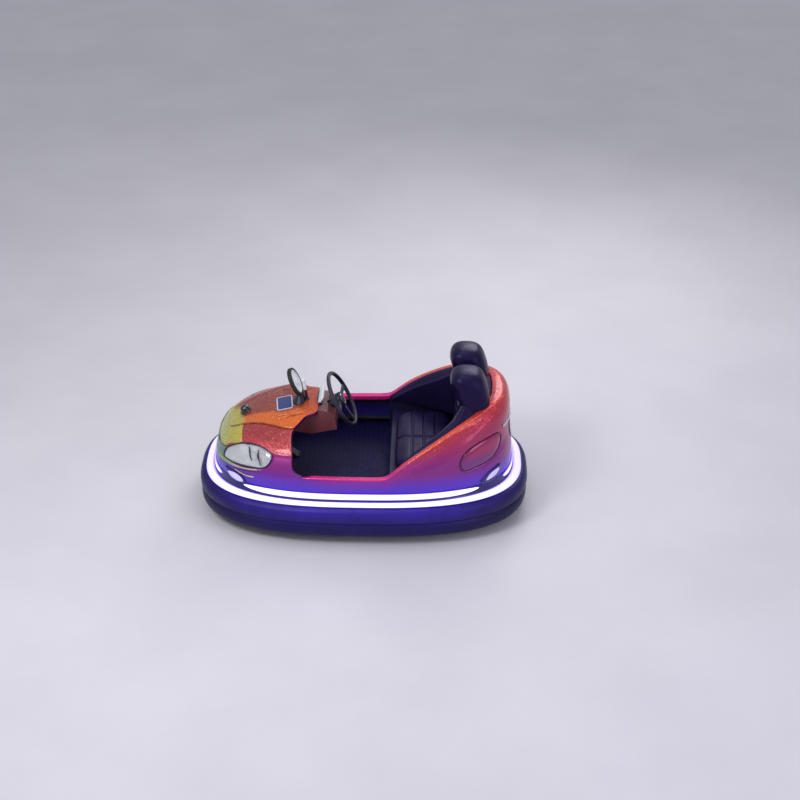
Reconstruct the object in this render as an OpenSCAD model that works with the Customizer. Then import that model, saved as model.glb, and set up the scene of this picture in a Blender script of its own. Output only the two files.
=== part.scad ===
// A battery bumper car: a rubber bumper ring round a moulded two-seat body, a steered
// drive wheel under the nose and two plain wheels at the rear.
// X points forward, Y to the left and Z up, and the floor is at Z = 0.

/* [Bumper] */
// Length over the bumper
car_l = 1950; // [1850:10:2050]
// Width over the bumper
car_w = 1160; // [1120:10:1220]
// Height of the bumper's underside above the floor
bumper_z = 60; // [45:1:75]
// Height of the bumper's rubber section
bumper_h = 185; // [170:1:200]
// Thickness of the rubber, from its widest line to the steel behind it
bumper_t = 60; // [50:1:70]
// Depth of the crease between the bumper's two lobes
bumper_crease = 14; // [6:1:22]
// Wall of the steel ring behind the rubber
carrier_wall = 5; // [4:1:8]
// Width of the steel ring's flanges
carrier_flange = 45; // [35:1:55]

/* [Lights] */
// From the bumper's widest line in to the outer edge of the light ring
light_inset = 40; // [32:1:48]
// Width of the light ring at the sides, in plan
light_w = 18; // [14:1:22]
// How much wider the light ring gets at the nose and the tail
light_end_w = 36; // [20:1:38]
// Rise of the light ring from its outer to its inner edge
light_rise = 34; // [26:1:40]
// Thickness of the light strips
light_t = 6; // [4:1:8]

/* [Body] */
// Height of the body's foot, where the shell begins to lean inwards
foot_z = 330; // [320:1:345]
// From the light ring in to the body's foot at the sides
foot_inset = 40; // [36:1:46]
// From the light ring's ends in to the nose and the tail
end_inset = 60; // [56:1:70]
// Height of the front shell above the body's foot
front_rise = 335; // [310:1:350]
// Height of the tail above the body's foot
tail_rise = 500; // [485:1:515]
// Depth of the hollow waist across the tail, under its rim
tail_waist = 18; // [10:1:22]
// Wall of the moulded shell
skin = 6; // [5:1:8]
// Forward end of the door openings
door_front = 396; // [380:1:410]
// Radius of the door openings' lower front corner
door_corner = 60; // [45:1:80]
// Rearward end of the door openings at the sill
door_rear = -140; // [-160:1:-120]
// Height of the door sills
sill_z = 412; // [400:1:425]
// Width of the flat lip along sills and rear rim
lip_w = 34; // [28:1:40]
// Inward return along the door openings' front edge
door_flange = 22; // [16:1:30]
// Rear end of the hood at the dashboard
hood_rear = 262; // [250:1:275]
// Height of the tail's rim at its rear corners
tail_rim_z = 768; // [755:1:778]
// Height at the tail where the cover meets the rear shell
tail_seam_z = 640; // [620:1:655]

/* [Lamps and trim] */
// Depth of the lamps' lenses
lens_t = 12; // [9:1:15]
// How far the lenses stand out of the shell
lens_proud = 3; // [2:1:5]
// Diameter of the ornamental wheel on the hood
spare_d = 170; // [155:1:185]
// Width of the ornamental wheel's tyre
spare_w = 26; // [22:1:32]
// Height of the ornamental tyre's section
spare_wall = 13; // [10:1:16]
// Lean of the ornamental wheel, its top forward
spare_lean = 25; // [15:1:35]
// Diameter of the round cap on the nose
cap_d = 68; // [60:1:76]
// Width of the blank plate on the hood
plate_w = 150; // [135:1:170]
// Length of the blank plate on the hood
plate_l = 92; // [80:1:104]
// Width of the blank plate on the tail
tail_plate_w = 220; // [180:1:240]
// Height of the blank plate on the tail
tail_plate_h = 120; // [100:1:125]
// Width of the bright trim across the tail
trim_w = 460; // [400:1:480]
// Height of the bright trim across the tail
trim_h = 30; // [24:1:36]

/* [Cockpit] */
// Top of the floor plate
floor_z = 203; // [198:1:208]
// Thickness of the floor plate
floor_t = 4; // [3:1:6]
// Wall of the black inner liners
liner_t = 5; // [4:1:8]
// Gap between the shell and the liners
liner_gap = 24; // [18:1:30]
// Top of the seat cushion
seat_z = 400; // [380:1:420]
// Thickness of the seat cushion
seat_t = 90; // [70:1:110]
// Half the width of the seat cushion
seat_half_w = 350; // [330:1:360]
// Half the length of the seat cushion
seat_half_l = 186; // [170:1:190]
// Height of the two headrests
headrest_z = 925; // [900:1:940]
// Sideways distance of each backrest lobe from the middle
lobe_y = 152; // [152:1:154]

/* [Steering] */
// Diameter of the steering wheel over its rim
steer_d = 350; // [330:1:370]
// Thickness of the steering wheel's rim
steer_rim = 24; // [20:1:28]
// Height of the steering wheel's centre
steer_z = 655; // [645:1:665]
// Distance of the steering wheel's centre ahead of the middle of the car
steer_x = 125; // [110:1:140]
// Slope of the steering column above the level
column_slope = 28; // [26:1:30]
// Diameter of the column's shaft
shaft_d = 25; // [20:1:30]
// Running gap between a shaft and its bearing, on the radius
run_gap = 0.05; // [0.02:0.01:0.09]

/* [Wheels] */
// From the bumper's front end back to the drive wheel's swivel
drive_inset = 355; // [345:1:375]
// Diameter of the drive wheel
drive_d = 170; // [160:1:176]
// Width of the drive wheel's tyre
drive_w = 70; // [60:1:80]
// Diameter of the fork's stem
stem_d = 36; // [30:1:42]
// From the bumper's rear end forward to the rear axle
axle_inset = 475; // [445:1:500]
// From the bumper's side in to the middle of each rear wheel
rear_wheel_inset = 230; // [215:1:245]
// Diameter of the rear wheels
rear_d = 150; // [140:1:160]
// Width of the rear wheels' tyres
rear_w = 46; // [40:1:56]
// Diameter of the rear wheels' axle pins
pin_d = 20; // [16:1:24]

/* [Frame] */
// Side of the square frame tubes
tube = 40; // [35:1:45]
// From the bumper's side in to the middle of each long tube
rail_inset = 318; // [310:1:326]
// Length of the battery box
battery_l = 360; // [320:10:400]
// Width of the battery box
battery_w = 440; // [400:10:460]
// Thickness of the plate that carries the steering head
plate_t = 8; // [6:1:10]

/* [Hidden] */
seat_gap = 0.3;
clear = 8;
plan_n = 2.7;
ring_steps = 64;
half_steps = ring_steps / 2;
level_steps = 9;
front_top_n = 2.4;
front_side_n = 2.2;
tail_top_n = 7;
flank_rise = tail_rise + 100;
flank_n = 2.6;

half_l = car_l / 2;
half_w = car_w / 2;
beyond = car_l;
drive_x = half_l - drive_inset;
axle_x = half_l - axle_inset;
rear_y = half_w - rear_wheel_inset;
rail_y = half_w - rail_inset;
bumper_top = bumper_z + bumper_h;
light_a = half_l - light_inset;
light_b = half_w - light_inset;
nose_a = light_a - end_inset;
tail_a = nose_a;
foot_b = light_b - foot_inset;
skirt_z = bumper_top + seat_gap;
front_top = foot_z + front_rise;
rail_z = floor_z - floor_t - tube;

// Curves shared by every ring and shell

// A power that keeps the sign of its base
function signed_pow(v, e) = v < 0 ? -pow(-v, e) : pow(v, e);

// A point of a rounded-rectangle outline with half-length a and half-width b
function plan_point(a, b, n, t) = [a * signed_pow(cos(t), 2 / n), b * signed_pow(sin(t), 2 / n)];

// The share of a half-width that is left at the share s of the height
function lean(s, n) = pow(max(0, 1 - pow(max(0, s), n)), 1 / n);

// Half-length and half-width of the front shell at height z, inset by d
function front_a(z, d) = (nose_a - d) * lean((z - foot_z) / (front_rise - d), front_top_n);
function front_b(z, d) = (foot_b - d) * lean((z - foot_z) / (front_rise - d), front_side_n);

// Half-length and half-width of the rear shell at height z, inset by d
function rear_a(z, d) =
    let (s = (z - foot_z) / (tail_rise - d))
    (tail_a - d) * lean(s, tail_top_n) - tail_waist * pow(max(0, sin(180 * s)), 4);
function rear_b(z, d) = (foot_b - d) * lean((z - foot_z) / (flank_rise - d), flank_n);

// Height of the hood's surface on the centreline, and at any place
function hood_z(x) = foot_z + front_rise * lean(x / nose_a, front_top_n);
function hood_at(x, y) =
    let (w = foot_b * lean(x / nose_a, plan_n))
    foot_z + (hood_z(x) - foot_z) * lean(abs(y) / w, front_side_n);

// Triangles over a grid of points, rows by columns, that closes round when wrap is true
function grid_faces(rows, cols, wrap, start = 0) = [
    for (i = [0 : rows - 2], j = [0 : cols - (wrap ? 1 : 2)])
        let (a = start + i * cols + j, b = start + i * cols + (j + 1) % cols, c = a + cols, d = b + cols)
        each [[a, c, d], [a, d, b]]
];

// A closed ring swept round the plan. Columns of the profile: half-length, half-width, height
module ring(profile) {
    k = len(profile);
    points = [
        for (i = [0 : ring_steps - 1], p = profile)
            let (q = plan_point(p[0], p[1], plan_n, 360 * i / ring_steps))
            [q[0], q[1], p[2]]
    ];
    faces = [
        for (i = [0 : ring_steps - 1], j = [0 : k - 1])
            let (next = (i + 1) % ring_steps, a = i * k + j, b = i * k + (j + 1) % k,
                 c = next * k + j, d = next * k + (j + 1) % k)
            each [[a, b, d], [a, d, c]]
    ];
    polyhedron(points, faces);
}

// A stretch of such a ring between two of its steps, closed at its ends
module ring_part(profile, from, to) {
    k = len(profile);
    points = [
        for (i = [from : to], p = profile)
            let (q = plan_point(p[0], p[1], plan_n, 360 * i / ring_steps))
            [q[0], q[1], p[2]]
    ];
    steps = to - from;
    sides = [
        for (i = [0 : steps - 1], j = [0 : k - 1])
            let (a = i * k + j, b = i * k + (j + 1) % k, c = a + k, d = b + k)
            each [[a, b, d], [a, d, c]]
    ];
    caps = [
        for (j = [1 : k - 2])
            each [[0, j + 1, j], [steps * k, steps * k + j, steps * k + j + 1]]
    ];
    polyhedron(points, concat(sides, caps));
}

// A solid half of the body from z = low up to its top, inset by d, its flat back past X = 0.
// dir is 1 for the front and -1 for the rear
module half_solid(dir, low, d, back = 1) {
    rise = (dir > 0 ? front_rise : tail_rise) - d;
    top_z = foot_z + rise * sin(88);
    levels = concat([low], [for (i = [0 : level_steps]) foot_z + rise * sin(88 * i / level_steps)]);
    rows = len(levels);
    cols = half_steps + 3;
    points = concat(
        [for (z = levels)
            let (a = dir > 0 ? front_a(z, d) : rear_a(z, d), b = dir > 0 ? front_b(z, d) : rear_b(z, d))
            for (j = [-1 : half_steps + 1])
                let (q = plan_point(a, b, plan_n, 180 * max(0, min(half_steps, j)) / half_steps - 90))
                [dir * (j < 0 || j > half_steps ? -back : q[0]), dir * q[1], z]],
        [[0, 0, low], [0, 0, top_z]]);
    centre = rows * cols;
    last = centre - cols;
    caps = [for (j = [0 : cols - 1]) each [
        [centre, j, (j + 1) % cols], [centre + 1, last + (j + 1) % cols, last + j]]];
    polyhedron(points, concat(grid_faces(rows, cols, true), caps));
}

// The moulded shell of one half, between two insets from its outside
module half_shell(dir, low, d_out, d_in) {
    difference() {
        half_solid(dir, low, d_out);
        half_solid(dir, low - 2, d_in, 3);
    }
}

// Both sides of a shape that is drawn on the left
module both_sides() {
    children();
    mirror([0, 1, 0]) children();
}

// A side-view outline, X across and Z up, pushed out along Y from y0 to y1
module side_prism(y0, y1) {
    translate([0, y1, 0]) rotate([90, 0, 0]) linear_extrude(height = y1 - y0) children();
}

// The line where the rear shell's rim runs. Columns: X, Z
rim_line = [
    [door_rear, sill_z], [-279, 530], [-413, 620], [-547, 696], [-655, 737], [-735, tail_rim_z]
];
wide = half_w + 100;

// Plan of the opening in the tail behind the seat, grown by d
tail_top_w = 122;
module tail_opening(d = 0) {
    polygon([for (i = [0 : half_steps])
        plan_point(tail_a - tail_top_w + d, 0.75 * foot_b + d, plan_n, 90 + 180 * i / half_steps)]);
}

// Everything above the rim, from the doors back to the tail
module above_rim(drop = 0) {
    side_prism(-wide, wide)
        polygon(concat(
            [[beyond, sill_z - drop]],
            [for (p = rim_line) [p[0], p[1] - drop]],
            [[rim_line[5][0], beyond], [beyond, beyond]]));
    translate([0, 0, rim_line[4][1] - drop]) linear_extrude(height = beyond) tail_opening();
}

// Side view of the door opening, with its lower front corner rounded
module door_outline() {
    difference() {
        translate([-beyond, sill_z]) square([beyond + door_front, beyond]);
        difference() {
            translate([door_front - door_corner, sill_z]) square(door_corner);
            translate([door_front - door_corner, sill_z + door_corner]) circle(r = door_corner, $fn = 64);
        }
    }
}

// Outline of the hood panel in plan, for the left half. Columns: X, Y
hood_edge = [
    [hood_rear, 122], [287, 150], [327, 172], [354, 205], [391, 260], [405, 292],
    [510, 235], [600, 192], [680, 168], [750, 150], [800, 90], [812, 0]
];

module hood_outline() {
    polygon(concat(hood_edge, [for (i = [len(hood_edge) - 2 : -1 : 0]) [hood_edge[i][0], -hood_edge[i][1]]]));
}

module bumper_ring() {
    color([0.08, 0.07, 0.16])
    ring([for (p = [
        // Columns: inset, height above the bumper's underside
        [bumper_t, 2], [34, 0], [18, 6], [7, 24], [4, 46], [8, 70], [bumper_crease, 86],
        [4, 104], [0, 130], [3, 155], [14, 174], [34, bumper_h], [bumper_t, bumper_h]
    ]) [half_l - p[0], half_w - p[0], bumper_z + p[1]]]);
}

module bumper_carrier() {
    inset = bumper_t + seat_gap;
    color([0.2, 0.2, 0.22])
    ring([for (p = [
        [inset, 12], [inset, bumper_h - 1], [inset + carrier_flange, bumper_h - 1],
        [inset + carrier_flange, bumper_h - 1 - carrier_wall], [inset + carrier_wall, bumper_h - 1 - carrier_wall],
        [inset + carrier_wall, 12 + carrier_wall], [inset + carrier_flange, 12 + carrier_wall],
        [inset + carrier_flange, 12]
    ]) [half_l - p[0], half_w - p[0], bumper_z + p[1]]]);
}

// The deck between bumper and body: its outer edge, the fold above the light ring and its inner edge.
// Columns: half-length, half-width, height
deck_low = bumper_top + seat_gap;
deck_edge = [light_a, light_b, deck_low + 4];
deck_fold = [light_a - light_w - light_end_w, light_b - light_w, deck_low + light_rise];
deck_foot = [nose_a + 2, foot_b + 3, foot_z - 12];

module deck_ring() {
    color([0.06, 0.06, 0.2])
    ring([
        [light_a, light_b, deck_low], deck_edge, deck_fold, deck_foot,
        [nose_a + seat_gap, foot_b + seat_gap, foot_z - 12],
        [nose_a + seat_gap, foot_b + seat_gap, deck_low]
    ]);
}

// A point at the share s between two deck points, raised by out from the deck's face
function on_deck(p, q, s, out) =
    let (c = p + (q - p) * s, run = norm([q[1] - p[1], q[2] - p[2]]))
    [c[0] + out * (q[2] - p[2]) / run, c[1] + out * (q[2] - p[2]) / run, c[2] + out * (p[1] - q[1]) / run];

// The profile of a strip that lies on the deck between the shares s0 and s1 of its way from p to q
function deck_strip(p, q, s0, s1, t) =
    [on_deck(p, q, s0, seat_gap), on_deck(p, q, s0, t), on_deck(p, q, s1, t), on_deck(p, q, s1, seat_gap)];

// The continuous glowing ring
module light_ring() {
    color([0.9, 0.9, 1])
    ring(deck_strip(deck_edge, deck_fold, 0, 0.9, light_t));
}

// The upper glowing bands along both sides
module light_bands() {
    color([0.85, 0.85, 1]) both_sides()
    ring_part(deck_strip(deck_fold, deck_foot, 0.2, 1, light_t), 8, 24);
}

// Small lit inserts at the four corners of the deck
module corner_lamps() {
    color([0.75, 0.7, 0.95]) both_sides() for (from = [5, 25])
    ring_part(deck_strip(deck_fold, deck_foot, 0.2, 1, light_t), from, from + 2);
}

// Everything behind the front shell, with the doors' openings
module behind_front(grow = 0) {
    side_prism(-wide, wide) offset(delta = grow) {
        door_outline();
        translate([-beyond, -beyond]) square([beyond + door_front - door_corner, 2 * beyond]);
    }
}

module body_front() {
    color([0.75, 0.2, 0.15])
    difference() {
        union() {
            half_shell(1, skirt_z, 0, skin);
            intersection() {
                half_shell(1, skirt_z, 0, door_flange);
                behind_front(skin);
            }
        }
        behind_front();
        translate([0, 0, foot_z + hood_floor]) linear_extrude(height = beyond) hood_outline();
        lens_outline(seat_gap);
    }
}

hood_floor = 20;
hood_gap = 1;
module hood() {
    color([0.9, 0.4, 0.1])
    intersection() {
        half_shell(1, skirt_z, 0, skin);
        translate([0, 0, foot_z + hood_floor]) linear_extrude(height = beyond)
            offset(delta = -hood_gap) hood_outline();
    }
}

// Both sills under the doors, each a wall with a rounded inward lip. Its outside runs smoothly
// from the front shell's to the rear shell's
module sills() {
    from = door_rear + hood_gap / 2;
    to = door_front - door_corner - hood_gap / 2;
    turns = [for (i = [18 : -1 : 12]) 360 * i / ring_steps];
    // Columns: inset from the outside, Z
    profile = [
        [0, skirt_z], [0, foot_z], [0, (foot_z + sill_z) / 2], [0, sill_z - 10], [3, sill_z - 3], [10, sill_z],
        [lip_w, sill_z], [lip_w, sill_z - skin], [skin + 4, sill_z - skin], [skin, sill_z - skin - 4],
        [skin, foot_z], [skin, skirt_z]
    ];
    k = len(profile);
    points = [for (t = turns, p = profile)
        let (w = max(0, min(1, (to - plan_point(nose_a, foot_b, plan_n, t)[0]) / (to - from))),
             q = plan_point(front_a(p[1], 0) * (1 - w) + rear_a(p[1], 0) * w,
                            front_b(p[1], 0) * (1 - w) + rear_b(p[1], 0) * w, plan_n, t))
        [q[0], q[1] - p[0], p[1]]];
    last = (len(turns) - 1) * k;
    caps = [for (j = [1 : k - 2]) each [[0, j, j + 1], [last, last + j + 1, last + j]]];
    color([0.7, 0.15, 0.3]) both_sides() intersection() {
        polyhedron(points, concat(grid_faces(len(turns), k, true), caps));
        translate([from, 0, 0]) cube([to - from, wide, beyond]);
    }
}

// The rear shell with its rim lip, before the tail cover is parted from it
module rear_moulding() {
    difference() {
        union() {
            half_shell(-1, skirt_z, 0, skin);
            intersection() {
                half_shell(-1, skirt_z, 0, lip_w);
                above_rim(skin);
            }
        }
        above_rim();
        translate([door_rear, -wide, 0]) cube([beyond, 2 * wide, beyond]);
    }
}

// The block that parts the tail cover from the flanks, its seam rising towards the seat
seam_run = 275;
module tail_block(gap) {
    side_prism(-wide, wide)
        polygon([
            [-beyond, tail_seam_z + gap], [-tail_a, tail_seam_z + gap], [-tail_a + seam_run, tail_rim_z - 46 + gap],
            [-tail_a + seam_run + 100, tail_rim_z + gap], [-tail_a + seam_run + 100, beyond], [-beyond, beyond]
        ]);
}

module body_rear() {
    color([0.7, 0.15, 0.35])
    difference() {
        rear_moulding();
        tail_block(-0.5);
        tail_lens_outline(seat_gap);
    }
}

module tail_cover() {
    color([0.85, 0.15, 0.1])
    intersection() {
        rear_moulding();
        tail_block(0.5);
    }
}

// A closed outline rounded through its points
function round_loop(p, steps = 4) =
    let (n = len(p))
    [
        for (i = [0 : n - 1], k = [0 : steps - 1])
            let (t = k / steps, a = p[(i + n - 1) % n], b = p[i], c = p[(i + 1) % n], d = p[(i + 2) % n])
            b + ((c - a) * t + (2 * a - 5 * b + 4 * c - d) * t * t + (3 * b - a - 3 * c + d) * t * t * t) / 2
    ];

// Side views of the lamps. Columns: back from the nose or in from the tail, above the body's foot
head_outline = [
    [74, 92], [99, 135], [178, 178], [254, 194], [314, 192], [363, 172], [343, 125], [301, 102], [225, 94], [148, 87],
    [84, 84]
];
tail_outline = [[302, 165], [262, 220], [182, 256], [93, 263], [78, 205], [120, 140], [206, 115], [287, 105]];

module lens_outline(grow) {
    both_sides() side_prism(150, wide)
        offset(delta = grow) translate([nose_a, foot_z]) mirror([1, 0]) polygon(round_loop(head_outline));
}

module tail_lens_outline(grow) {
    both_sides() side_prism(150, wide)
        offset(delta = grow) translate([-tail_a, foot_z]) polygon(round_loop(tail_outline));
}

module headlights() {
    color([0.9, 0.92, 0.95])
    intersection() {
        half_shell(1, skirt_z, -lens_proud, lens_t - lens_proud);
        lens_outline(0);
    }
}

module taillights() {
    color([0.9, 0.05, 0.1])
    intersection() {
        half_shell(-1, skirt_z, -lens_proud, lens_t - lens_proud);
        tail_lens_outline(0);
    }
}

// The ornament's foot, in front of the hood's rear edge
spare_x = hood_rear + 135;
bracket_half_w = 72;
bracket_half_l = 42;
bracket_x = spare_x - 40;

// The two blank number plates, on the hood and on the tail
plate_gap = 15;
plate_x = bracket_x + bracket_half_l + plate_gap + plate_l / 2;
plate_y = 27;
plate_turn = 7;
plate_t_out = 4;
tail_plate_z = 470;
module number_plates() {
    color([0.1, 0.15, 0.4]) {
        intersection() {
            half_shell(1, skirt_z, -plate_t_out, -seat_gap);
            translate([plate_x, plate_y, foot_z]) rotate([0, 0, plate_turn])
                translate([-plate_l / 2, -plate_w / 2, 0]) cube([plate_l, plate_w, beyond]);
        }
        intersection() {
            half_shell(-1, skirt_z, -plate_t_out, -seat_gap);
            translate([-beyond, -tail_plate_w / 2, tail_plate_z]) cube([beyond + door_rear, tail_plate_w, tail_plate_h]);
        }
    }
}

// Bright trim across the tail, above the plate and under the cover's seam
module rear_trim() {
    color([0.6, 0.6, 0.7])
    intersection() {
        half_shell(-1, skirt_z, -6, -seat_gap);
        translate([-beyond, -trim_w / 2, tail_seam_z - trim_h - 4])
            cube([beyond + door_rear, trim_w, trim_h]);
    }
}

cap_x = nose_a - 181;
module nose_cap() {
    z = hood_z(cap_x);
    slope = atan2(hood_z(cap_x + 20) - hood_z(cap_x - 20), 40);
    color([0.05, 0.05, 0.06])
    difference() {
        translate([cap_x, 0, z]) rotate([0, -slope / 2, 0]) rotate_extrude($fn = 48)
            polygon(concat([[0, -30], [cap_d / 2, -30], [cap_d / 2, 6]],
                [for (i = [0 : 6]) let (t = 15 * i) [(cap_d / 2 - 6) * cos(t), 10 + 40 * sin(t)]]));
        half_solid(1, skirt_z, -seat_gap);
    }
}

spare_foot = 46;
spare_z = hood_z(spare_x) + spare_foot + spare_d / 2 * cos(spare_lean);

// Places its children on the ornamental wheel, whose axis is the children's Z
module at_spare() {
    translate([spare_x, 0, spare_z]) rotate([0, -90 + spare_lean, 0]) children();
}

module spare_tyre() {
    color([0.04, 0.04, 0.05])
    at_spare() rotate_extrude($fn = 64) translate([spare_d / 2 - spare_wall, 0])
        offset(r = 4, $fn = 24) offset(delta = -4) translate([0, -spare_w / 2]) square([spare_wall, spare_w]);
}

module spare_disc() {
    color([0.9, 0.92, 1])
    at_spare() difference() {
        cylinder(r = spare_d / 2 - spare_wall - seat_gap, h = spare_w - 8, center = true, $fn = 64);
        translate([0, 0, spare_w / 2 - 8]) cylinder(r = spare_d / 2 - spare_wall - 10, h = 20, $fn = 64);
    }
}

module spare_bracket() {
    color([0.06, 0.06, 0.07])
    difference() {
        hull() {
            translate([bracket_x, 0, hood_z(spare_x) - 20])
                scale([bracket_half_l / bracket_half_w, 1, 1]) cylinder(r = bracket_half_w, h = 30, $fn = 32);
            translate([spare_x - 34, 0, spare_z - spare_d / 2 + 16]) cylinder(r = 20, h = 12, $fn = 24);
        }
        half_solid(1, skirt_z, -seat_gap);
        at_spare() cylinder(r = spare_d / 2 + seat_gap, h = spare_w + 40, center = true, $fn = 64);
    }
}

// Places its children on the steering column, whose Z runs up to the driver
module at_column(along) {
    translate([steer_x, 0, steer_z]) rotate([0, column_slope - 90, 0]) translate([0, 0, along]) children();
}
column_l = (drive_x - steer_x) / cos(column_slope);

firewall_x = drive_x - 128;
dash_half_w = 122;
dash_wall = 5;
shroud_d = 54;
dash_top = hood_z(hood_rear) - skin - clear / 2;
dash_h = 160;
dash_l = 110;

// Side view of the dashboard, inset all round by d
module dash_profile(d) {
    side_prism(-dash_half_w + d, dash_half_w - d)
        polygon([
            [hood_rear - 3 - d, dash_top - d], [firewall_x - seat_gap + d, dash_top - 10 - d],
            [firewall_x - seat_gap + d, dash_top - dash_h + 30 + d], [hood_rear + 38, dash_top - dash_h + d],
            [hood_rear - dash_l + d, dash_top - dash_h + 32 + d], [hood_rear - dash_l + 8 + d, dash_top - 50],
            [hood_rear - dash_l / 2 + d / 2, dash_top - 10 - d]
        ]);
}

module dashboard() {
    color([0.35, 0.08, 0.1])
    difference() {
        dash_profile(0);
        dash_profile(dash_wall);
        difference() {
            translate([hood_rear - 2, -wide, 0]) cube([beyond, 2 * wide, beyond]);
            half_solid(1, 0, skin + seat_gap);
        }
        at_column(-200) cylinder(d = shroud_d + 2 * seat_gap, h = 200, $fn = 48);
        at_column(-column_l) cylinder(d = shaft_d + clear, h = column_l, $fn = 48);
    }
}

display_w = 156;
display_lift = 15;
display_x = hood_rear - 10;
display_foot_w = 80;
// Height of the dashboard's rear slope
function dash_slope(x) = dash_top - 10 * (hood_rear - 3 - x) / (dash_l / 2 - 3);
// The housing stands on a foot that follows the dashboard
module display() {
    color([0.95, 0.95, 1]) {
        translate([display_x, -display_w / 2, dash_top + display_lift]) rotate([0, -35, 0]) cube([14, display_w, 44]);
        side_prism(-display_foot_w / 2, display_foot_w / 2) polygon([
            [display_x - 5, dash_slope(display_x - 5) + seat_gap], [display_x + 6, dash_slope(display_x + 6) + seat_gap],
            [display_x + 8, dash_top + display_lift + 10], [display_x, dash_top + display_lift + 4]
        ]);
    }
}

module column_shroud() {
    color([0.05, 0.05, 0.06])
    at_column(-136) difference() {
        cylinder(d = shroud_d, h = 100, $fn = 48);
        translate([0, 0, -1]) cylinder(d = shaft_d + clear, h = 102, $fn = 48);
    }
}

module steering_wheel() {
    color([0.05, 0.05, 0.06])
    at_column(0) {
        rotate_extrude($fn = 72) translate([steer_d / 2 - steer_rim / 2, 0]) circle(d = steer_rim, $fn = 24);
        difference() {
            translate([0, 0, -24]) cylinder(d = 90, h = 34, $fn = 48);
            translate([0, 0, -25]) cylinder(d = shaft_d + 0.1, h = 20, $fn = 48);
        }
        for (a = [90, 180, 270]) rotate([0, 0, a])
            translate([30, -16, -10]) cube([steer_d / 2 - steer_rim / 2 - 30, 32, 10]);
    }
}

module steering_shaft() {
    color([0.6, 0.6, 0.62])
    at_column(-column_l + 40) cylinder(d = shaft_d, h = column_l - 40 - 6, $fn = 48);
}

gear_z = steer_z - (drive_x - steer_x) * tan(column_slope);
module steering_gearbox() {
    color([0.3, 0.3, 0.32])
    difference() {
        translate([drive_x - 55, -45, gear_z - 45]) cube([110, 90, 90]);
        at_column(-column_l) cylinder(d = shaft_d + 2 * run_gap, h = 200, $fn = 48);
        translate([drive_x, 0, gear_z - 60]) cylinder(d = stem_d + 2 * run_gap, h = 60, $fn = 48);
    }
}

head_top = gear_z - 45;
module steering_head() {
    color([0.25, 0.25, 0.27])
    translate([drive_x, 0, 0]) difference() {
        union() {
            translate([0, 0, plate_z + plate_t]) cylinder(d = 130, h = 10, $fn = 64);
            translate([0, 0, plate_z + plate_t]) cylinder(d = 74, h = head_top - plate_z - plate_t, $fn = 64);
        }
        translate([0, 0, plate_z]) cylinder(d = stem_d + 2 * run_gap, h = head_top, $fn = 64);
    }
}

// Half the length of the plate that carries the steering head
plate_half = 130;
plate_z = rail_z + tube;
module head_plate() {
    color([0.2, 0.2, 0.22])
    difference() {
        translate([drive_x - plate_half, -rail_y - tube / 2, plate_z]) cube([2 * plate_half, 2 * rail_y + tube, plate_t]);
        translate([drive_x, 0, plate_z - 1]) cylinder(d = stem_d + 2 * clear, h = plate_t + 2, $fn = 64);
    }
}

module firewall() {
    color([0.1, 0.1, 0.14])
    difference() {
        intersection() {
            half_solid(1, skirt_z, skin + seat_gap);
            translate([firewall_x, -wide, skirt_z]) cube([skin, 2 * wide, beyond]);
        }
        at_column(-column_l) cylinder(d = shaft_d + 2 * clear, h = column_l, $fn = 48);
    }
}

// The two side walls of the footwell, open between them
footwell_w = 320;
liner_rise = 240;
module footwell_liner() {
    color([0.07, 0.07, 0.16])
    intersection() {
        half_shell(1, skirt_z, liner_gap, liner_gap + liner_t);
        difference() {
            translate([door_front, -wide, skirt_z])
                cube([firewall_x - seat_gap - door_front, 2 * wide, foot_z + liner_rise - skirt_z]);
            translate([0, -footwell_w / 2, 0]) cube([beyond, footwell_w, beyond]);
        }
    }
}

tub_inset = lip_w + 2;
deck_z = seat_z - seat_t - seat_gap;
riser_x = -160;
module seat_tub() {
    color([0.06, 0.06, 0.1])
    difference() {
        union() {
            half_shell(-1, floor_z + seat_gap, tub_inset, tub_inset + liner_t);
            intersection() {
                half_solid(-1, floor_z + seat_gap, tub_inset + 1);
                union() {
                    translate([-2 * wide, -wide, deck_z - liner_t]) cube([2 * wide + riser_x, 2 * wide, liner_t]);
                    translate([riser_x - liner_t, -wide, 0]) cube([liner_t, 2 * wide, deck_z]);
                }
            }
        }
        above_rim(2 * skin);
        translate([door_rear, -wide, 0]) cube([beyond, 2 * wide, beyond]);
        translate([-beyond, -wide, tail_rim_z]) cube([2 * beyond, 2 * wide, beyond]);
    }
}

// A cushion as a stack of rounded sections. Columns: Z, centre X, half-length, half-width
module stack(sections, y, n) {
    steps = 24;
    rows = len(sections);
    points = concat(
        [for (s = sections, j = [0 : steps - 1])
            let (q = plan_point(s[2], s[3], n, 360 * j / steps)) [s[1] + q[0], y + q[1], s[0]]],
        [[sections[0][1], y, sections[0][0]], [sections[rows - 1][1], y, sections[rows - 1][0]]]);
    bottom = rows * steps;
    faces = concat(
        grid_faces(rows, steps, true),
        [for (j = [0 : steps - 1]) [bottom, j, (j + 1) % steps]],
        [for (j = [0 : steps - 1]) [bottom + 1, bottom - steps + (j + 1) % steps, bottom - steps + j]]);
    polyhedron(points, faces);
}

seat_mid_x = -355;
module seat_base() {
    low = seat_z - seat_t;
    color([0.05, 0.05, 0.07])
    stack([
        [low, seat_mid_x, seat_half_l - 16, seat_half_w - 20], [low + 15, seat_mid_x, seat_half_l - 4, seat_half_w - 4],
        [seat_z - 30, seat_mid_x, seat_half_l, seat_half_w], [seat_z - 8, seat_mid_x, seat_half_l - 8, seat_half_w - 12],
        [seat_z, seat_mid_x, seat_half_l - 31, seat_half_w - 40]
    ], 0, 4);
}

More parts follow.
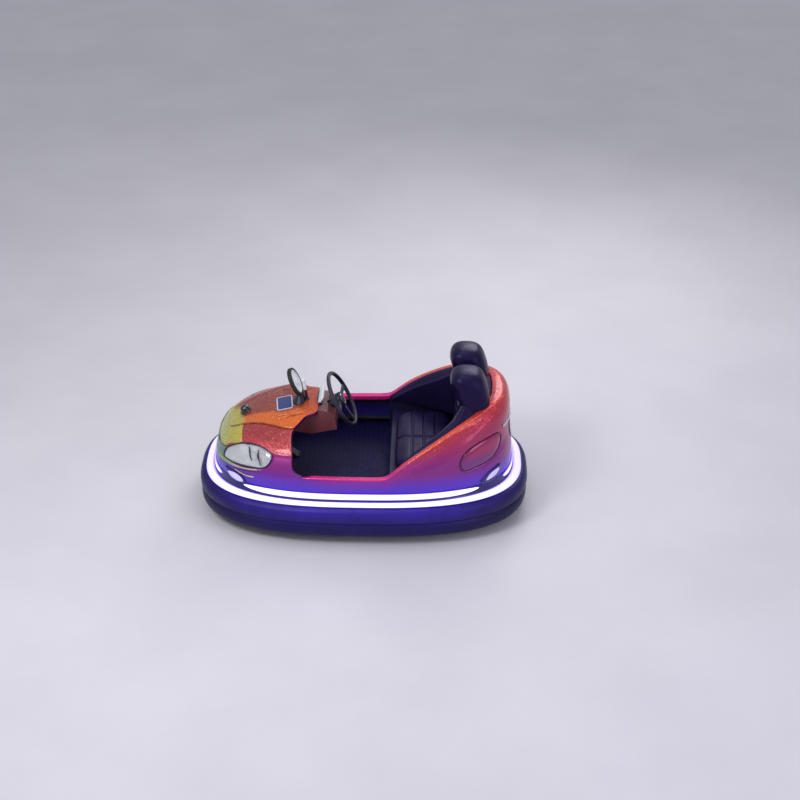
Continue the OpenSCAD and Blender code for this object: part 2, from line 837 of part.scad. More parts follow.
// Sections of one backrest lobe. Columns: Z, centre X, half-length, half-width
back_low = seat_z - seat_t;
back_sections = [
    [back_low, -600, 50, 146], [back_low + 60, -606, 66, 150], [560, -628, 82, 150], [660, -638, 92, 142],
    [740, -640, 96, 132], [800, -628, 98, 128], [850, -612, 98, 118], [890, -606, 84, 98],
    [914, -604, 56, 68], [headrest_z, -604, 24, 34]
];
module seat_back() {
    fit = tub_inset + liner_t + 1;
    color([0.05, 0.05, 0.07])
    intersection() {
        for (s = [-1, 1]) stack(back_sections, s * lobe_y, 2.4);
        union() {
            half_solid(-1, floor_z, fit);
            translate([0, 0, rim_line[4][1] - skin - 1]) linear_extrude(height = beyond) tail_opening(-2);
        }
    }
}

// Padded rails along the inside of the rising rims
pad_drop = 2;
pad_h = 74;
pad_t = 34;
module rail_pads() {
    fit = tub_inset + liner_t + seat_gap;
    line = [for (i = [0 : 3]) rim_line[i]];
    color([0.05, 0.05, 0.07]) both_sides()
    intersection() {
        half_shell(-1, skirt_z, fit, fit + pad_t);
        translate([-hood_gap, 0, 0]) side_prism(0, wide)
            polygon(concat(
                [for (p = line) [p[0], p[1] - pad_drop]],
                [for (i = [3 : -1 : 0]) [line[i][0], line[i][1] - pad_h]]));
    }
}

// Plan of the steel ring's inner side, inset by a further d
module inside_carrier(d) {
    inset = bumper_t + 2 * seat_gap + carrier_wall + d;
    polygon([for (i = [0 : ring_steps - 1])
        plan_point(half_l - inset, half_w - inset, plan_n, 360 * i / ring_steps)]);
}

module floor_pan() {
    color([0.15, 0.15, 0.18])
    translate([0, 0, floor_z - floor_t]) linear_extrude(height = floor_t) intersection() {
        inside_carrier(0);
        translate([-wide * 2, -wide]) square([wide * 2 + drive_x - plate_half - 1, 2 * wide]);
    }
}

// The accelerator, a plate folded up from its hinged foot
pedal_w = 60;
pedal_l = 86;
pedal_h = 68;
pedal_y = 70;
pedal_x = drive_x - plate_half - clear - pedal_l;
module pedal() {
    color([0.3, 0.3, 0.32])
    side_prism(-pedal_y - pedal_w, -pedal_y) translate([pedal_x, floor_z])
        polygon([
            [0, 0], [pedal_l - 12, 0], [pedal_l - 12, 8], [26, 8], [pedal_l, pedal_h - 6], [pedal_l - 6, pedal_h],
            [12, 8], [0, 8]
        ]);
}

module frame_rails() {
    color([0.2, 0.2, 0.22])
    translate([0, 0, rail_z]) linear_extrude(height = tube) intersection() {
        inside_carrier(0);
        for (s = [-1, 1]) translate([-half_l, s * rail_y - tube / 2]) square([car_l, tube]);
    }
}

// Where the three cross-members begin, from the rear to the front
rear_cross_run = 190;
front_cross_run = 290;
cross_x = [-axle_x - rear_cross_run, -150, drive_x - front_cross_run];
tie_hole_d = 13;
tie_hole_inset = 82;
tie_hole_y = rail_y - tie_hole_inset;
module frame_crossmembers() {
    outer = rail_y + tube / 2 + seat_gap;
    inner = rail_y - tube / 2 - seat_gap;
    color([0.2, 0.2, 0.22])
    translate([0, 0, rail_z]) linear_extrude(height = tube) difference() {
        intersection() {
            inside_carrier(0);
            for (x = cross_x, y = [-half_w, -inner, outer])
                translate([x, y]) square([tube, y == -inner ? 2 * inner : half_w - outer]);
        }
        for (x = [cross_x[0], cross_x[2]], y = [-tie_hole_y, tie_hole_y])
            translate([x + tube / 2, y]) circle(d = tie_hole_d, $fn = 32);
    }
}

module battery_box() {
    color([0.12, 0.12, 0.14])
    translate([seat_mid_x - battery_l / 2, -battery_w / 2, floor_z + seat_gap])
        cube([battery_l, battery_w, deck_z - liner_t - floor_z - 2 * seat_gap]);
}

fork_top = rail_z + tube - 8;
fork_in = drive_w / 2 + 6;
module drive_fork() {
    axle_z = drive_d / 2;
    color([0.35, 0.35, 0.37])
    translate([drive_x, 0, 0]) difference() {
        union() {
            translate([-35, -fork_in - 10, fork_top - 10]) cube([70, 2 * fork_in + 20, 10]);
            for (s = [-1, 1]) translate([-25, s * (fork_in + 5) - 5, axle_z - 25]) cube([50, 10, fork_top - axle_z + 25]);
            translate([0, 0, fork_top - 5]) cylinder(d = stem_d, h = gear_z - 10 - fork_top, $fn = 64);
        }
        translate([0, 0, axle_z]) rotate([90, 0, 0]) cylinder(d = pin_d + 0.1, h = 200, center = true, $fn = 48);
    }
}

module drive_motor() {
    color([0.3, 0.3, 0.33])
    translate([drive_x, fork_in + 10 + seat_gap, drive_d / 2]) rotate([-90, 0, 0]) cylinder(d = 100, h = 105, $fn = 64);
}

module drive_tyre() {
    color([0.05, 0.05, 0.05])
    translate([drive_x, 0, drive_d / 2]) rotate([90, 0, 0]) rotate_extrude($fn = 72)
        polygon([[drive_d / 2 - 25, -drive_w / 2], [drive_d / 2 - 6, -drive_w / 2], [drive_d / 2, -drive_w / 2 + 8],
                 [drive_d / 2, drive_w / 2 - 8], [drive_d / 2 - 6, drive_w / 2], [drive_d / 2 - 25, drive_w / 2]]);
}

module drive_hub() {
    color([0.6, 0.6, 0.62])
    translate([drive_x, 0, drive_d / 2]) rotate([90, 0, 0]) {
        cylinder(r = drive_d / 2 - 25, h = drive_w - 6, center = true, $fn = 72);
        cylinder(d = pin_d, h = 2 * fork_in + 18, center = true, $fn = 48);
    }
}

bracket_in = rear_w / 2 + 6;
bracket_l = 80;
module rear_brackets() {
    axle_z = rear_d / 2;
    color([0.25, 0.25, 0.27])
    for (side = [-1, 1]) translate([-axle_x, side * rear_y, 0]) difference() {
        union() {
            translate([-bracket_l / 2, -bracket_in - 8, rail_z + tube - 8]) cube([bracket_l, 2 * bracket_in + 16, 8]);
            for (s = [-1, 1]) translate([-25, s * (bracket_in + 4) - 4, axle_z - 20]) cube([50, 8, rail_z + tube - axle_z + 20 - 4]);
        }
        translate([0, 0, axle_z]) rotate([90, 0, 0]) cylinder(d = pin_d + 2 * run_gap, h = 200, center = true, $fn = 48);
    }
}

module rear_wheel(side) {
    color([0.1, 0.1, 0.1])
    translate([-axle_x, side * rear_y, rear_d / 2]) rotate([90, 0, 0]) {
        rotate_extrude($fn = 72)
            polygon([[0, -rear_w / 2 + 4], [rear_d / 2 - 20, -rear_w / 2 + 4], [rear_d / 2 - 20, -rear_w / 2],
                     [rear_d / 2 - 6, -rear_w / 2], [rear_d / 2, -rear_w / 2 + 6], [rear_d / 2, rear_w / 2 - 6],
                     [rear_d / 2 - 6, rear_w / 2], [rear_d / 2 - 20, rear_w / 2], [rear_d / 2 - 20, rear_w / 2 - 4],
                     [0, rear_w / 2 - 4]]);
        cylinder(d = pin_d, h = 2 * bracket_in + 16, center = true, $fn = 48);
    }
}

module wheel_rear_left() { rear_wheel(1); }
module wheel_rear_right() { rear_wheel(-1); }

bumper_ring();
bumper_carrier();
deck_ring();
light_ring();
light_bands();
body_front();
hood();
sills();
body_rear();
tail_cover();
headlights();
taillights();
corner_lamps();
number_plates();
rear_trim();
nose_cap();
spare_tyre();
spare_disc();
spare_bracket();
dashboard();
display();
column_shroud();
firewall();
footwell_liner();
seat_tub();
seat_base();
seat_back();
rail_pads();
floor_pan();
pedal();
steering_wheel();
steering_shaft();
steering_gearbox();
steering_head();
head_plate();
frame_rails();
frame_crossmembers();
battery_box();
drive_fork();
drive_motor();
drive_tyre();
drive_hub();
rear_brackets();
wheel_rear_left();
wheel_rear_right();
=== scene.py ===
from math import atan2, copysign, cos, hypot, pi, radians, sin

import bmesh
import bpy
import numpy as np
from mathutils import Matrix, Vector, geometry


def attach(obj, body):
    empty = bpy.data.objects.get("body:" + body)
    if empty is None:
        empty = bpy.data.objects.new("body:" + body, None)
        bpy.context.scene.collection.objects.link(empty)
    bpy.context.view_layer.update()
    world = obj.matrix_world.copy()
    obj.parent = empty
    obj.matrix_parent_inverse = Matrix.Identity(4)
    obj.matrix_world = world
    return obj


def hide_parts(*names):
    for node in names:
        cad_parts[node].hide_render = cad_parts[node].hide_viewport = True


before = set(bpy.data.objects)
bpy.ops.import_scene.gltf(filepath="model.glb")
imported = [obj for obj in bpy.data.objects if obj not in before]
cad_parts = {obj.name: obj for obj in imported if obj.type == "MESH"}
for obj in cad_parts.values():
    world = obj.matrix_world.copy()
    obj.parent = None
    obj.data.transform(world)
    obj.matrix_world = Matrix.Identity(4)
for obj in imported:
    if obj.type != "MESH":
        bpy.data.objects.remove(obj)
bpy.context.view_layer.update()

D = bpy.data
scene = bpy.context.scene
scene.view_settings.view_transform = "Standard"

# The body's main sizes, in metres
FOOT_Z = 0.33
NOSE_A, TAIL_A, FOOT_B = 0.875, 0.875, 0.5
FRONT_RISE, TAIL_RISE, FLANK_RISE = 0.335, 0.5, 0.6
PLAN_N = 2.7
SKIN = 0.006
HALF_L, HALF_W = 0.975, 0.58
DOOR_X, DOOR_R, SILL_Z, DOOR_REAR = 0.396, 0.06, 0.412, -0.14
FRONT_X = DOOR_X - DOOR_R
HEM_Z, SEAM, LAMP_GAP = 0.318, 0.0006, 0.0008
WALL_A, WALL_B = 0.8815, 0.5065
WHEEL_C, WHEEL_SLOPE = np.array([0.125, 0.0, 0.655]), radians(28)


# Shapes in numbers

def lean(s, n):
    s = np.clip(s, 0, 1)
    return np.power(np.clip(1 - s ** n, 0, 1), 1 / n)


def plan(phi, n=PLAN_N):
    """X and Y of a rounded-rectangle outline of half-sides 1 at the polar angle phi."""
    c, s = np.cos(phi), np.sin(phi)
    rho = (np.abs(c) ** n + np.abs(s) ** n) ** (-1 / n)
    return rho * c, rho * s


def plan_angle(x, left=1):
    """The polar angle at which the outline has X = x."""
    x = np.asarray(x, float)
    y = lean(np.abs(x), PLAN_N)
    return np.arctan2(left * y, x)


def smooth(t):
    t = np.clip(t, 0, 1)
    return t * t * (3 - 2 * t)


def step(x, lo, hi):
    return smooth((np.asarray(x, float) - lo) / (hi - lo))


def curve(points, n=None, closed=False, spacing=None):
    """A smooth curve through points, evenly spaced."""
    p = np.asarray(points, float)
    if closed:
        p = np.vstack([p[-1], p, p[0], p[1]])
    else:
        p = np.vstack([2 * p[0] - p[1], p, 2 * p[-1] - p[-2]])
    out = []
    for i in range(1, len(p) - 2):
        a, b, c, d = p[i - 1:i + 3]
        t = np.linspace(0, 1, 24, endpoint=False)[:, None]
        out.append(0.5 * (2 * b + (c - a) * t + (2 * a - 5 * b + 4 * c - d) * t ** 2 + (3 * b - a - 3 * c + d)
            * t ** 3))
    if not closed:
        out.append(p[-2][None])
    else:
        out.append(out[0][:1])
    q = np.vstack(out)
    return resample(q, n, spacing, closed)


def lengths(line):
    """Distance along a line to each of its points."""
    return np.r_[0, np.cumsum(np.linalg.norm(np.diff(line, axis=0), axis=1))]


def resample(q, n=None, spacing=None, closed=False):
    q = np.asarray(q, float)
    s = lengths(q)
    if n is None:
        n = max(3, int(round(s[-1] / spacing)) + 1)
    t = np.linspace(0, s[-1], n)
    r = np.stack([np.interp(t, s, q[:, k]) for k in range(q.shape[1])], 1)
    return r[:-1] if closed else r


def bell(d, width):
    return np.exp(-(d / width) ** 2)


def circle(n):
    """Angles of n points round a circle."""
    return np.arange(n) / n * 2 * pi
def unit(v):
    return v / np.maximum(np.linalg.norm(v, axis=-1, keepdims=True), 1e-12)


def seg_distance(p, line):
    """Distance of points p from a polyline, and the side they lie on (left is positive)."""
    p = np.asarray(p, float)
    line = np.asarray(line, float)
    best = np.full(len(p), 1e9)
    side = np.ones(len(p))
    for a, b in zip(line[:-1], line[1:]):
        ab = b - a
        t = np.clip(((p - a) @ ab) / max(ab @ ab, 1e-18), 0, 1)
        d = p - a - t[:, None] * ab
        r = np.hypot(d[:, 0], d[:, 1])
        near = r < best
        best = np.where(near, r, best)
        side = np.where(near, np.sign(ab[0] * d[:, 1] - ab[1] * d[:, 0] + 1e-15), side)
    return best, side


def inside(p, loop):
    """Which points lie in a closed polygon."""
    x, y = p[:, 0], p[:, 1]
    odd = np.zeros(len(p), bool)
    for a, b in zip(loop, np.roll(loop, -1, 0)):
        if a[1] == b[1]:
            continue
        cross = ((a[1] > y) != (b[1] > y)) & (x < (b[0] - a[0]) * (y - a[1]) / (b[1] - a[1]) + a[0])
        odd ^= cross
    return odd


def signed(p, loop):
    """Signed distance from a closed outline, positive outside."""
    d, _ = seg_distance(p, np.vstack([loop, loop[:1]]))
    return np.where(inside(p, loop), -d, d)


# Pieces

def add_object(name, verts, faces, material, body="car", sharp=None, flat=False):
    me = D.meshes.new(name)
    me.from_pydata([tuple(v) for v in verts], [], [tuple(int(i) for i in f) for f in faces])
    me.validate()
    me.update()
    ob = D.objects.new(name, me)
    scene.collection.objects.link(ob)
    if not flat:
        me.shade_smooth()
        if sharp:
            me.set_sharp_from_angle(angle=radians(sharp))
    if material:
        me.materials.append(material)
    if body:
        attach(ob, body)
    return ob


def attribute(ob, name, values):
    at = ob.data.attributes.new(name, "FLOAT", "POINT")
    at.data.foreach_set("value", np.asarray(values, np.float32))


def grid_faces(nu, nv, wrap_u=False, wrap_v=True):
    return [(i * nv + j, (i + 1) % nu * nv + j, (i + 1) % nu * nv + (j + 1) % nv, i * nv + (j + 1) % nv)
        for i in range(nu if wrap_u else nu - 1) for j in range(nv if wrap_v else nv - 1)]


def fix_normals(ob, weld=0, fill=False):
    bm = bmesh.new()
    bm.from_mesh(ob.data)
    if weld:
        bmesh.ops.remove_doubles(bm, verts=bm.verts, dist=weld)
    if fill:
        bmesh.ops.holes_fill(bm, edges=[e for e in bm.edges if e.is_boundary], sides=0)
    bmesh.ops.recalc_face_normals(bm, faces=bm.faces)
    bm.to_mesh(ob.data)
    bm.free()
    return ob


def loft(name, rows, material, sharp=None, body="car", ring=False, flat=False):
    """Closed rows of points joined to a skin, round to the first row or with a cap at each end."""
    P = np.asarray(rows, float)
    n, m = P.shape[:2]
    faces = grid_faces(n, m, ring)
    if not ring:
        faces += [tuple(range(m)), tuple(range((n - 1) * m, n * m))[::-1]]
    return fix_normals(add_object(name, P.reshape(-1, 3), faces, material, body, sharp, flat))


def bar(name, path, radius, material, up):
    """A round bar along a path."""
    t = unit(np.gradient(path, axis=0))
    s = unit(np.cross(up, t))
    a = circle(8)[:, None]
    return loft(name, path[:, None] + radius[:, None, None]
        * (np.cos(a) * s[:, None] + np.sin(a) * np.cross(t, s)[:, None]), material, 40)


def lathe(name, profile, material, centre, axis, steps=64, body="car", open_ends=False):
    """A turned piece. Columns of the profile: radius, distance along the axis."""
    prof = np.asarray(profile, float)
    q = Vector(axis).normalized().to_track_quat("Z", "Y").to_matrix()
    a = circle(steps)[:, None]
    P = np.stack([np.cos(a) * prof[:, 0], np.sin(a) * prof[:, 0], np.ones_like(a) * prof[:, 1]], -1)
    verts = P.reshape(-1, 3) @ np.array(q).T + np.asarray(centre, float)
    ob = add_object(name, verts, grid_faces(steps, len(prof), True, False), material, body)
    fix_normals(ob, 1e-6, not open_ends)
    ob.data.shade_smooth()
    ob.data.set_sharp_from_angle(angle=radians(35))
    return ob


def normal_at(surface, q, e=1e-4):
    du = surface(q + (e, 0)) - surface(q - (e, 0))
    dv = surface(q + (0, e)) - surface(q - (0, e))
    return unit(np.cross(du, dv))


def panel(name, surface, loop, material, holes=(), lines=(), h=0.008, skin=SKIN, roll=0.0015, flange=None,
        push=None, marks=None, sharp=50, inside_material=None, edge_material=None):
    """A moulded panel: a sheet over a surface inside an outline, with rolled edges and its full thickness.
    surface maps the flat domain to space with its normal outward. push gives a displacement along the normal,
    flange an edge depth, and marks named values, each for domain points."""
    loops = [resample(np.vstack([l, l[:1]]), spacing=h, closed=True) for l in (loop, *holes)]
    runs = [resample(l, spacing=h) for l in lines]
    fixed = np.vstack(loops + runs)
    lo, hi = fixed.min(0), fixed.max(0)
    gx = np.arange(lo[0], hi[0], h)
    gy = np.arange(lo[1], hi[1], h * 0.866)
    g = np.stack(np.meshgrid(gx, gy), -1)
    g[1::2, :, 0] += h / 2
    g = g.reshape(-1, 2)
    ok = inside(g, loops[0])
    for l in loops[1:]:
        ok &= ~inside(g, l)
    g = g[ok]
    cell = {}
    for i, p in enumerate(fixed):
        cell.setdefault((int(p[0] // h), int(p[1] // h)), []).append(p)
    keep = []
    for p in g:
        i, j = int(p[0] // h), int(p[1] // h)
        near = [q for a in (-1, 0, 1) for b in (-1, 0, 1) for q in cell.get((i + a, j + b), ())]
        keep.append(not near or np.min(np.sum((np.array(near) - p) ** 2, 1)) > (0.6 * h) ** 2)
    g = g[np.array(keep, bool)]
    pts = np.vstack([fixed, g])
    edges, at = [], 0
    for l in loops:
        k = len(l)
        edges += [(at + i, at + (i + 1) % k) for i in range(k)]
        at += k
    for l in runs:
        edges += [(at + i, at + i + 1) for i in range(len(l) - 1)]
        at += len(l)
    out = geometry.delaunay_2d_cdt([Vector(p) for p in pts], edges, [], 0, 1e-7, False)
    flat = np.array([tuple(v) for v in out[0]])
    tri = np.array(out[2], int)
    mid = flat[tri].mean(1)
    ok = inside(mid, loops[0])
    for l in loops[1:]:
        ok &= ~inside(mid, l)
    tri = tri[ok]
    used = np.unique(tri)
    index = np.full(len(flat), -1)
    index[used] = np.arange(len(used))
    flat, tri = flat[used], index[tri]
    a, b, c = flat[tri[:, 0]], flat[tri[:, 1]], flat[tri[:, 2]]
    turn = (b - a)[:, 0] * (c - a)[:, 1] - (b - a)[:, 1] * (c - a)[:, 0]
    tri = np.where((turn < 0)[:, None], tri[:, ::-1], tri)
    P = surface(flat)
    n = normal_at(surface, flat)
    if push is not None:
        P = P + n * push(flat)[:, None]
    # Mesh normals of the pushed sheet
    fn = np.cross(P[tri[:, 1]] - P[tri[:, 0]], P[tri[:, 2]] - P[tri[:, 0]])
    vn = np.zeros_like(P)
    for k in range(3):
        np.add.at(vn, tri[:, k], fn)
    vn = unit(vn)
    # Border half-edges
    count = {}
    for f in tri:
        for k in range(3):
            count[(f[k], f[(k + 1) % 3])] = True
    nxt = {i: j for (i, j) in count if (j, i) not in count}
    prev = {j: i for i, j in nxt.items()}
    border = np.array(list(nxt))
    d = unit(P[[nxt[i] for i in border]] - P[[prev[i] for i in border]])
    t = unit(np.cross(d, vn[border]))
    depth = np.full(len(border), skin) if flange is None else np.maximum(flange(flat[border]), skin)
    wall = min(skin, 0.004)
    steps = [(roll * sin(x), roll * (1 - cos(x))) for x in np.radians([30, 60, 90])]
    verts, source, rings = [P], [np.arange(len(P))], [border]
    pos = {b: i for i, b in enumerate(border)}
    total = len(P)
    for out_, down in steps + [(roll, depth), (roll - wall, depth)]:
        verts.append(P[border] + t * out_ - vn[border] * np.reshape(down, (-1, 1)))
        rings.append(np.arange(total, total + len(border)))
        source.append(border)
        total += len(border)
    inner_start = total
    inner = P - vn * skin
    verts.append(inner)
    source.append(np.arange(len(P)))
    faces = [tuple(f) for f in tri] + [tuple(inner_start + f[::-1]) for f in tri]
    rings.append(inner_start + border)
    for r0, r1 in zip(rings[:-1], rings[1:]):
        for i, j in nxt.items():
            a, b = pos[i], pos[j]
            faces.append((r0[b], r0[a], r1[a], r1[b]))
    ob = add_object(name, np.vstack(verts), faces, material, "car", sharp)
    if inside_material:
        ob.data.materials.append(inside_material)
        ob.data.materials.append(edge_material or material)
        k, rolled = len(tri), 2 * len(tri) + 3 * len(border)
        ob.data.polygons.foreach_set("material_index",
            [1 if k <= i < 2 * k else 2 * int(i >= rolled) for i in range(len(ob.data.polygons))])
    source = np.concatenate(source)
    if marks:
        for key, val in marks(flat, P).items():
            attribute(ob, key, np.asarray(val)[source])
    return ob
# Materials
class Nodes:
    """A short way to write a node tree."""

    def __init__(self, name):
        self.m = D.materials.new(name)
        self.m.use_nodes = True
        self.t = self.m.node_tree
        self.t.nodes.clear()
        self.out = self.t.nodes.new("ShaderNodeOutputMaterial")
        self.co = None

    def node(self, kind, inputs, out=0, **props):
        n = self.t.nodes.new("ShaderNode" + kind)
        for k, v in props.items():
            setattr(n, k, v)
        for k, v in inputs.items():
            if v is None:
                continue
            s = n.inputs[k]
            if isinstance(v, bpy.types.NodeSocket):
                self.t.links.new(v, s)
            elif isinstance(v, (tuple, list)) and len(v) == 3 and s.type == "RGBA":
                s.default_value = (*v, 1)
            else:
                s.default_value = v
        return n.outputs[out]

    def place(self):
        if self.co is None:
            self.co = self.node("TexCoord", {}, "Object")
        return self.co

    def normal(self):
        return self.node("NewGeometry", {}, "Normal")

    def noise(self, scale, detail=4, rough=0.55, stretch=None):
        co = self.place()
        if stretch:
            co = self.node("Mapping", {"Vector": co, "Scale": stretch})
        return self.node("TexNoise", {"Vector": co, "Scale": scale, "Detail": detail, "Roughness": rough})

    def cells(self, scale, out="Color", random=1.0):
        return self.node("TexVoronoi", {"Vector": self.place(), "Scale": scale, "Randomness": random}, out)

    def math(self, op, a, b=None, c=None):
        return self.node("Math", {0: a, 1: b, 2: c}, operation=op)

    def mul(self, a, b):
        return self.math("MULTIPLY", a, b)

    def add(self, a, b):
        return self.math("ADD", a, b)

    def most(self, a, b):
        return self.math("MAXIMUM", a, b)

    def size(self, a):
        return self.math("ABSOLUTE", a)

    def scaled(self, a, by, plus):
        return self.math("MULTIPLY_ADD", a, by, plus)

    def vector(self, op, a, b=None, scale=None):
        return self.node("VectorMath", {0: a, 1: b, "Scale": scale}, operation=op)

    def ramp(self, x, lo, hi, a=0.0, b=1.0):
        return self.node("MapRange", {"Value": x, "From Min": lo, "From Max": hi, "To Min": a, "To Max": b},
            interpolation_type="SMOOTHSTEP")

    def mix(self, f, a, b, blend="MIX"):
        return self.node("Mix", {"Factor": f, 6: a, 7: b}, 2, data_type="RGBA", blend_type=blend)

    def attr(self, name):
        return self.node("Attribute", {}, "Fac", attribute_name=name)

    def axis(self, k):
        return self.node("SeparateXYZ", {0: self.place()}, k)

    def channel(self, colour, k):
        return self.node("SeparateColor", {0: colour}, k)

    def bump(self, height, strength, distance, normal=None):
        return self.node("Bump", {"Height": height, "Strength": strength, "Distance": distance,
            "Normal": normal})

    def shade(self, **sockets):
        shader = self.node("BsdfPrincipled", {k.replace("_", " "): v for k, v in sockets.items()})
        self.t.links.new(shader, self.out.inputs["Surface"])
        return self.m


def srgb(r, g, b):
    return tuple((c / 255 / 12.92) if c <= 10 else ((c / 255 + 0.055) / 1.055) ** 2.4 for c in (r, g, b))


def plain(name, colour, rough, metal, grain, depth, vary, wear=0, coat=0):
    """Moulded or cast material: slight colour variation, fine grain in roughness and bump."""
    t = Nodes(name)
    big = t.noise(9, 5)
    fine = t.noise(grain, 3)
    dark = tuple(c * (1 - vary) for c in colour)
    lite = tuple(min(1, c * (1 + vary)) for c in colour)
    c = t.mix(t.ramp(big, 0.3, 0.7), dark, lite)
    if wear:
        scratch = t.noise(55, 6, 0.7, (1, 0.15, 1))
        pale = tuple(min(1, v * 1.7 + 0.04) for v in colour)
        c = t.mix(t.mul(t.ramp(scratch, 0.6, 0.72), wear), c, pale)
    r = t.add(t.ramp(fine, 0.2, 0.8, -0.06, 0.06), t.ramp(big, 0.3, 0.7, rough - 0.05, rough + 0.05))
    return t.shade(Base_Color=c, Roughness=r, Metallic=metal, Specular_IOR_Level=0.5, Coat_Weight=coat,
        Coat_Roughness=0.08, Normal=t.bump(fine, 0.5, depth))


def glitter(t, colour, bright):
    """Coarse metal flake in clear coat. Returns colour and normal."""
    flake = t.cells(210)
    small = t.cells(620)
    r = t.channel(flake, 0)
    g = t.channel(small, 1)
    tone = t.mul(t.scaled(r, 0.44, 0.74), t.scaled(g, 0.4, 0.78))
    body = t.mix(1.0, colour, t.node("CombineColor", {0: tone, 1: tone, 2: tone}), "MULTIPLY")
    spark = t.most(t.ramp(r, 0.955, 0.985), t.ramp(g, 0.96, 0.985, 0, 0.5))
    spark = t.mul(spark, t.ramp(t.noise(26, 3), 0.35, 0.65, 0.35, 1.0))
    v = t.vector("SCALE", t.vector("SUBTRACT", flake, (0.5, 0.5, 0.5)), scale=0.42)
    return t.mix(spark, body, bright), t.vector("NORMALIZE", t.vector("ADD", t.normal(), v))


def paint(name, zones):
    """Clear-coated body paint. zones(t) gives the base colour, the flakes' colour and the flakes' share."""
    t = Nodes(name)
    colour, bright, share = zones(t)
    body, n = glitter(t, colour, bright)
    c = t.mix(share, colour, body)
    mixn = t.node("Mix", {"Factor": share, 4: t.normal(), 5: n}, 1, data_type="VECTOR")
    grime = t.noise(5, 6, 0.6)
    rough = t.ramp(grime, 0.3, 0.7, 0.3, 0.42)
    return t.shade(Base_Color=c, Roughness=rough, Metallic=0.35, Specular_IOR_Level=0.4, Coat_Weight=0.55,
        Coat_Roughness=0.07, Normal=mixn)


MAROON = srgb(152, 56, 42)
RED = srgb(172, 56, 62)
ORANGE = srgb(236, 110, 26)
YELLOW = srgb(200, 186, 78)
MAGENTA = srgb(142, 30, 134)
# Violet painted onto the lower body as light from the glowing bands
BAND_GLOW_VIOLET = srgb(92, 50, 210)
FLAME = srgb(236, 78, 58)


def front_zones(t):
    mouth, nose, stepd, z, x = t.attr("mouth"), t.attr("nose"), t.attr("step"), t.axis(2), t.axis(0)
    wob = t.scaled(t.noise(14, 3), 0.03, -0.015)
    # The lower body: violet over the lights as painted light from the glowing bands below, magenta above,
    # grey-green and two pale streaks round the headlight
    low = t.mix(t.ramp(z, 0.335, 0.455), BAND_GLOW_VIOLET, MAGENTA)
    low = t.mix(t.ramp(z, 0.46, 0.53, 0, 0.6), low, srgb(168, 40, 96))
    streak = t.attr("streak")
    front = t.mix(t.ramp(streak, -0.004, 0.004), srgb(80, 62, 190), srgb(112, 136, 130))
    low = t.mix(t.ramp(x, 0.66, 0.8), low, front)
    dark = t.most(t.mul(t.ramp(t.size(streak), 0.026, 0.008), t.attr("fade1")),
        t.mul(t.ramp(t.attr("streak2"), 0.022, 0.006), t.attr("fade2")))
    low = t.mix(t.mul(dark, 0.85), low, srgb(60, 36, 62))
    wide = t.ramp(x, 0.66, 0.83, 0.0052, 0.016)
    pale = t.mix(t.ramp(x, 0.72, 0.8), srgb(206, 192, 176), srgb(150, 176, 104))
    on = t.math("LESS_THAN", t.size(streak), wide)
    low = t.mix(t.mul(on, t.ramp(t.attr("fade1"), 0.05, 0.5)), low, pale)
    on = t.mul(t.ramp(t.attr("streak2"), 0.0058, 0.0044), t.ramp(t.attr("fade2"), 0.05, 0.5))
    low = t.mix(on, low, srgb(222, 210, 190))
    # The hood: maroon with an orange stripe over the mouth line and a red-orange rear edge
    hood = t.mix(t.ramp(t.add(t.attr("stripe"), wob), -0.014, 0.016), ORANGE, MAROON)
    rear = t.ramp(t.add(x, wob), 0.37, 0.32)
    hood = t.mix(t.mul(rear, 0.8), hood, srgb(206, 78, 44))
    # Painted shade in the two ribs' grooves
    hood = t.mix(t.mul(t.attr("ribs"), 0.85), hood, srgb(96, 34, 22))
    fender = t.mix(t.ramp(stepd, 0.0, 0.06), srgb(202, 66, 80), RED)
    upper = t.mix(t.ramp(mouth, -0.001, 0.001), fender, hood)
    # The nose: soft over the mouth line, with a plain edge below it
    soft = t.ramp(t.add(nose, t.mul(wob, 1.4)), 0.02, -0.034)
    hard = t.ramp(nose, 0.001, -0.006)
    yellow = t.mix(t.ramp(x, 0.74, 0.84), YELLOW, srgb(194, 198, 124))
    upper = t.mix(t.mix(t.ramp(mouth, -0.004, 0.004), hard, soft), upper, yellow)
    # A painted shadow along the mouth line's groove, under the hood's overhang
    upper = t.mix(t.mul(t.attr("groove"), 0.9), upper, srgb(84, 26, 20))
    lowmask = t.ramp(stepd, 0.0015, -0.0015)
    c = t.mix(lowmask, upper, low)
    # A painted highlight along the stepped line's ledge
    c = t.mix(t.mul(t.attr("line"), 0.6), c, srgb(250, 160, 160))
    # A line of painted shade under the nose's overhang
    c = t.mix(t.mul(t.attr("under"), 0.95), c, srgb(28, 24, 40))
    bright = t.mix(t.ramp(nose, 0.01, -0.02), srgb(255, 170, 128), srgb(238, 240, 150))
    share = t.scaled(t.most(lowmask, t.attr("under")), -0.9, 1.0)
    return c, bright, share


def side_zones(t):
    z, x = t.axis(2), t.axis(0)
    rim = t.attr("rim")
    # Violet over the lights is painted light from the glowing bands below; magenta above
    low = t.mix(t.ramp(z, 0.335, 0.455), BAND_GLOW_VIOLET, MAGENTA)
    c = t.mix(t.ramp(z, 0.46, 0.62), low, srgb(172, 40, 98))
    c = t.mix(t.ramp(t.add(x, t.mul(z, -0.2)), -0.9, -0.98, 0, 0.6), c, srgb(186, 84, 96))
    near = t.mul(t.ramp(rim, 0.11, 0.0), t.ramp(x, 0.33, 0.16))
    near = t.mul(near, t.ramp(z, 0.345, 0.46, 0.3, 1.0))
    c = t.mix(t.mul(near, 0.8), c, t.mix(t.ramp(z, 0.44, 0.6), srgb(172, 34, 140), srgb(204, 44, 66)))
    share = t.scaled(t.mul(near, t.ramp(z, 0.42, 0.56, 0.1, 1.0)), 0.8, 0.06)
    return c, srgb(255, 140, 130), share


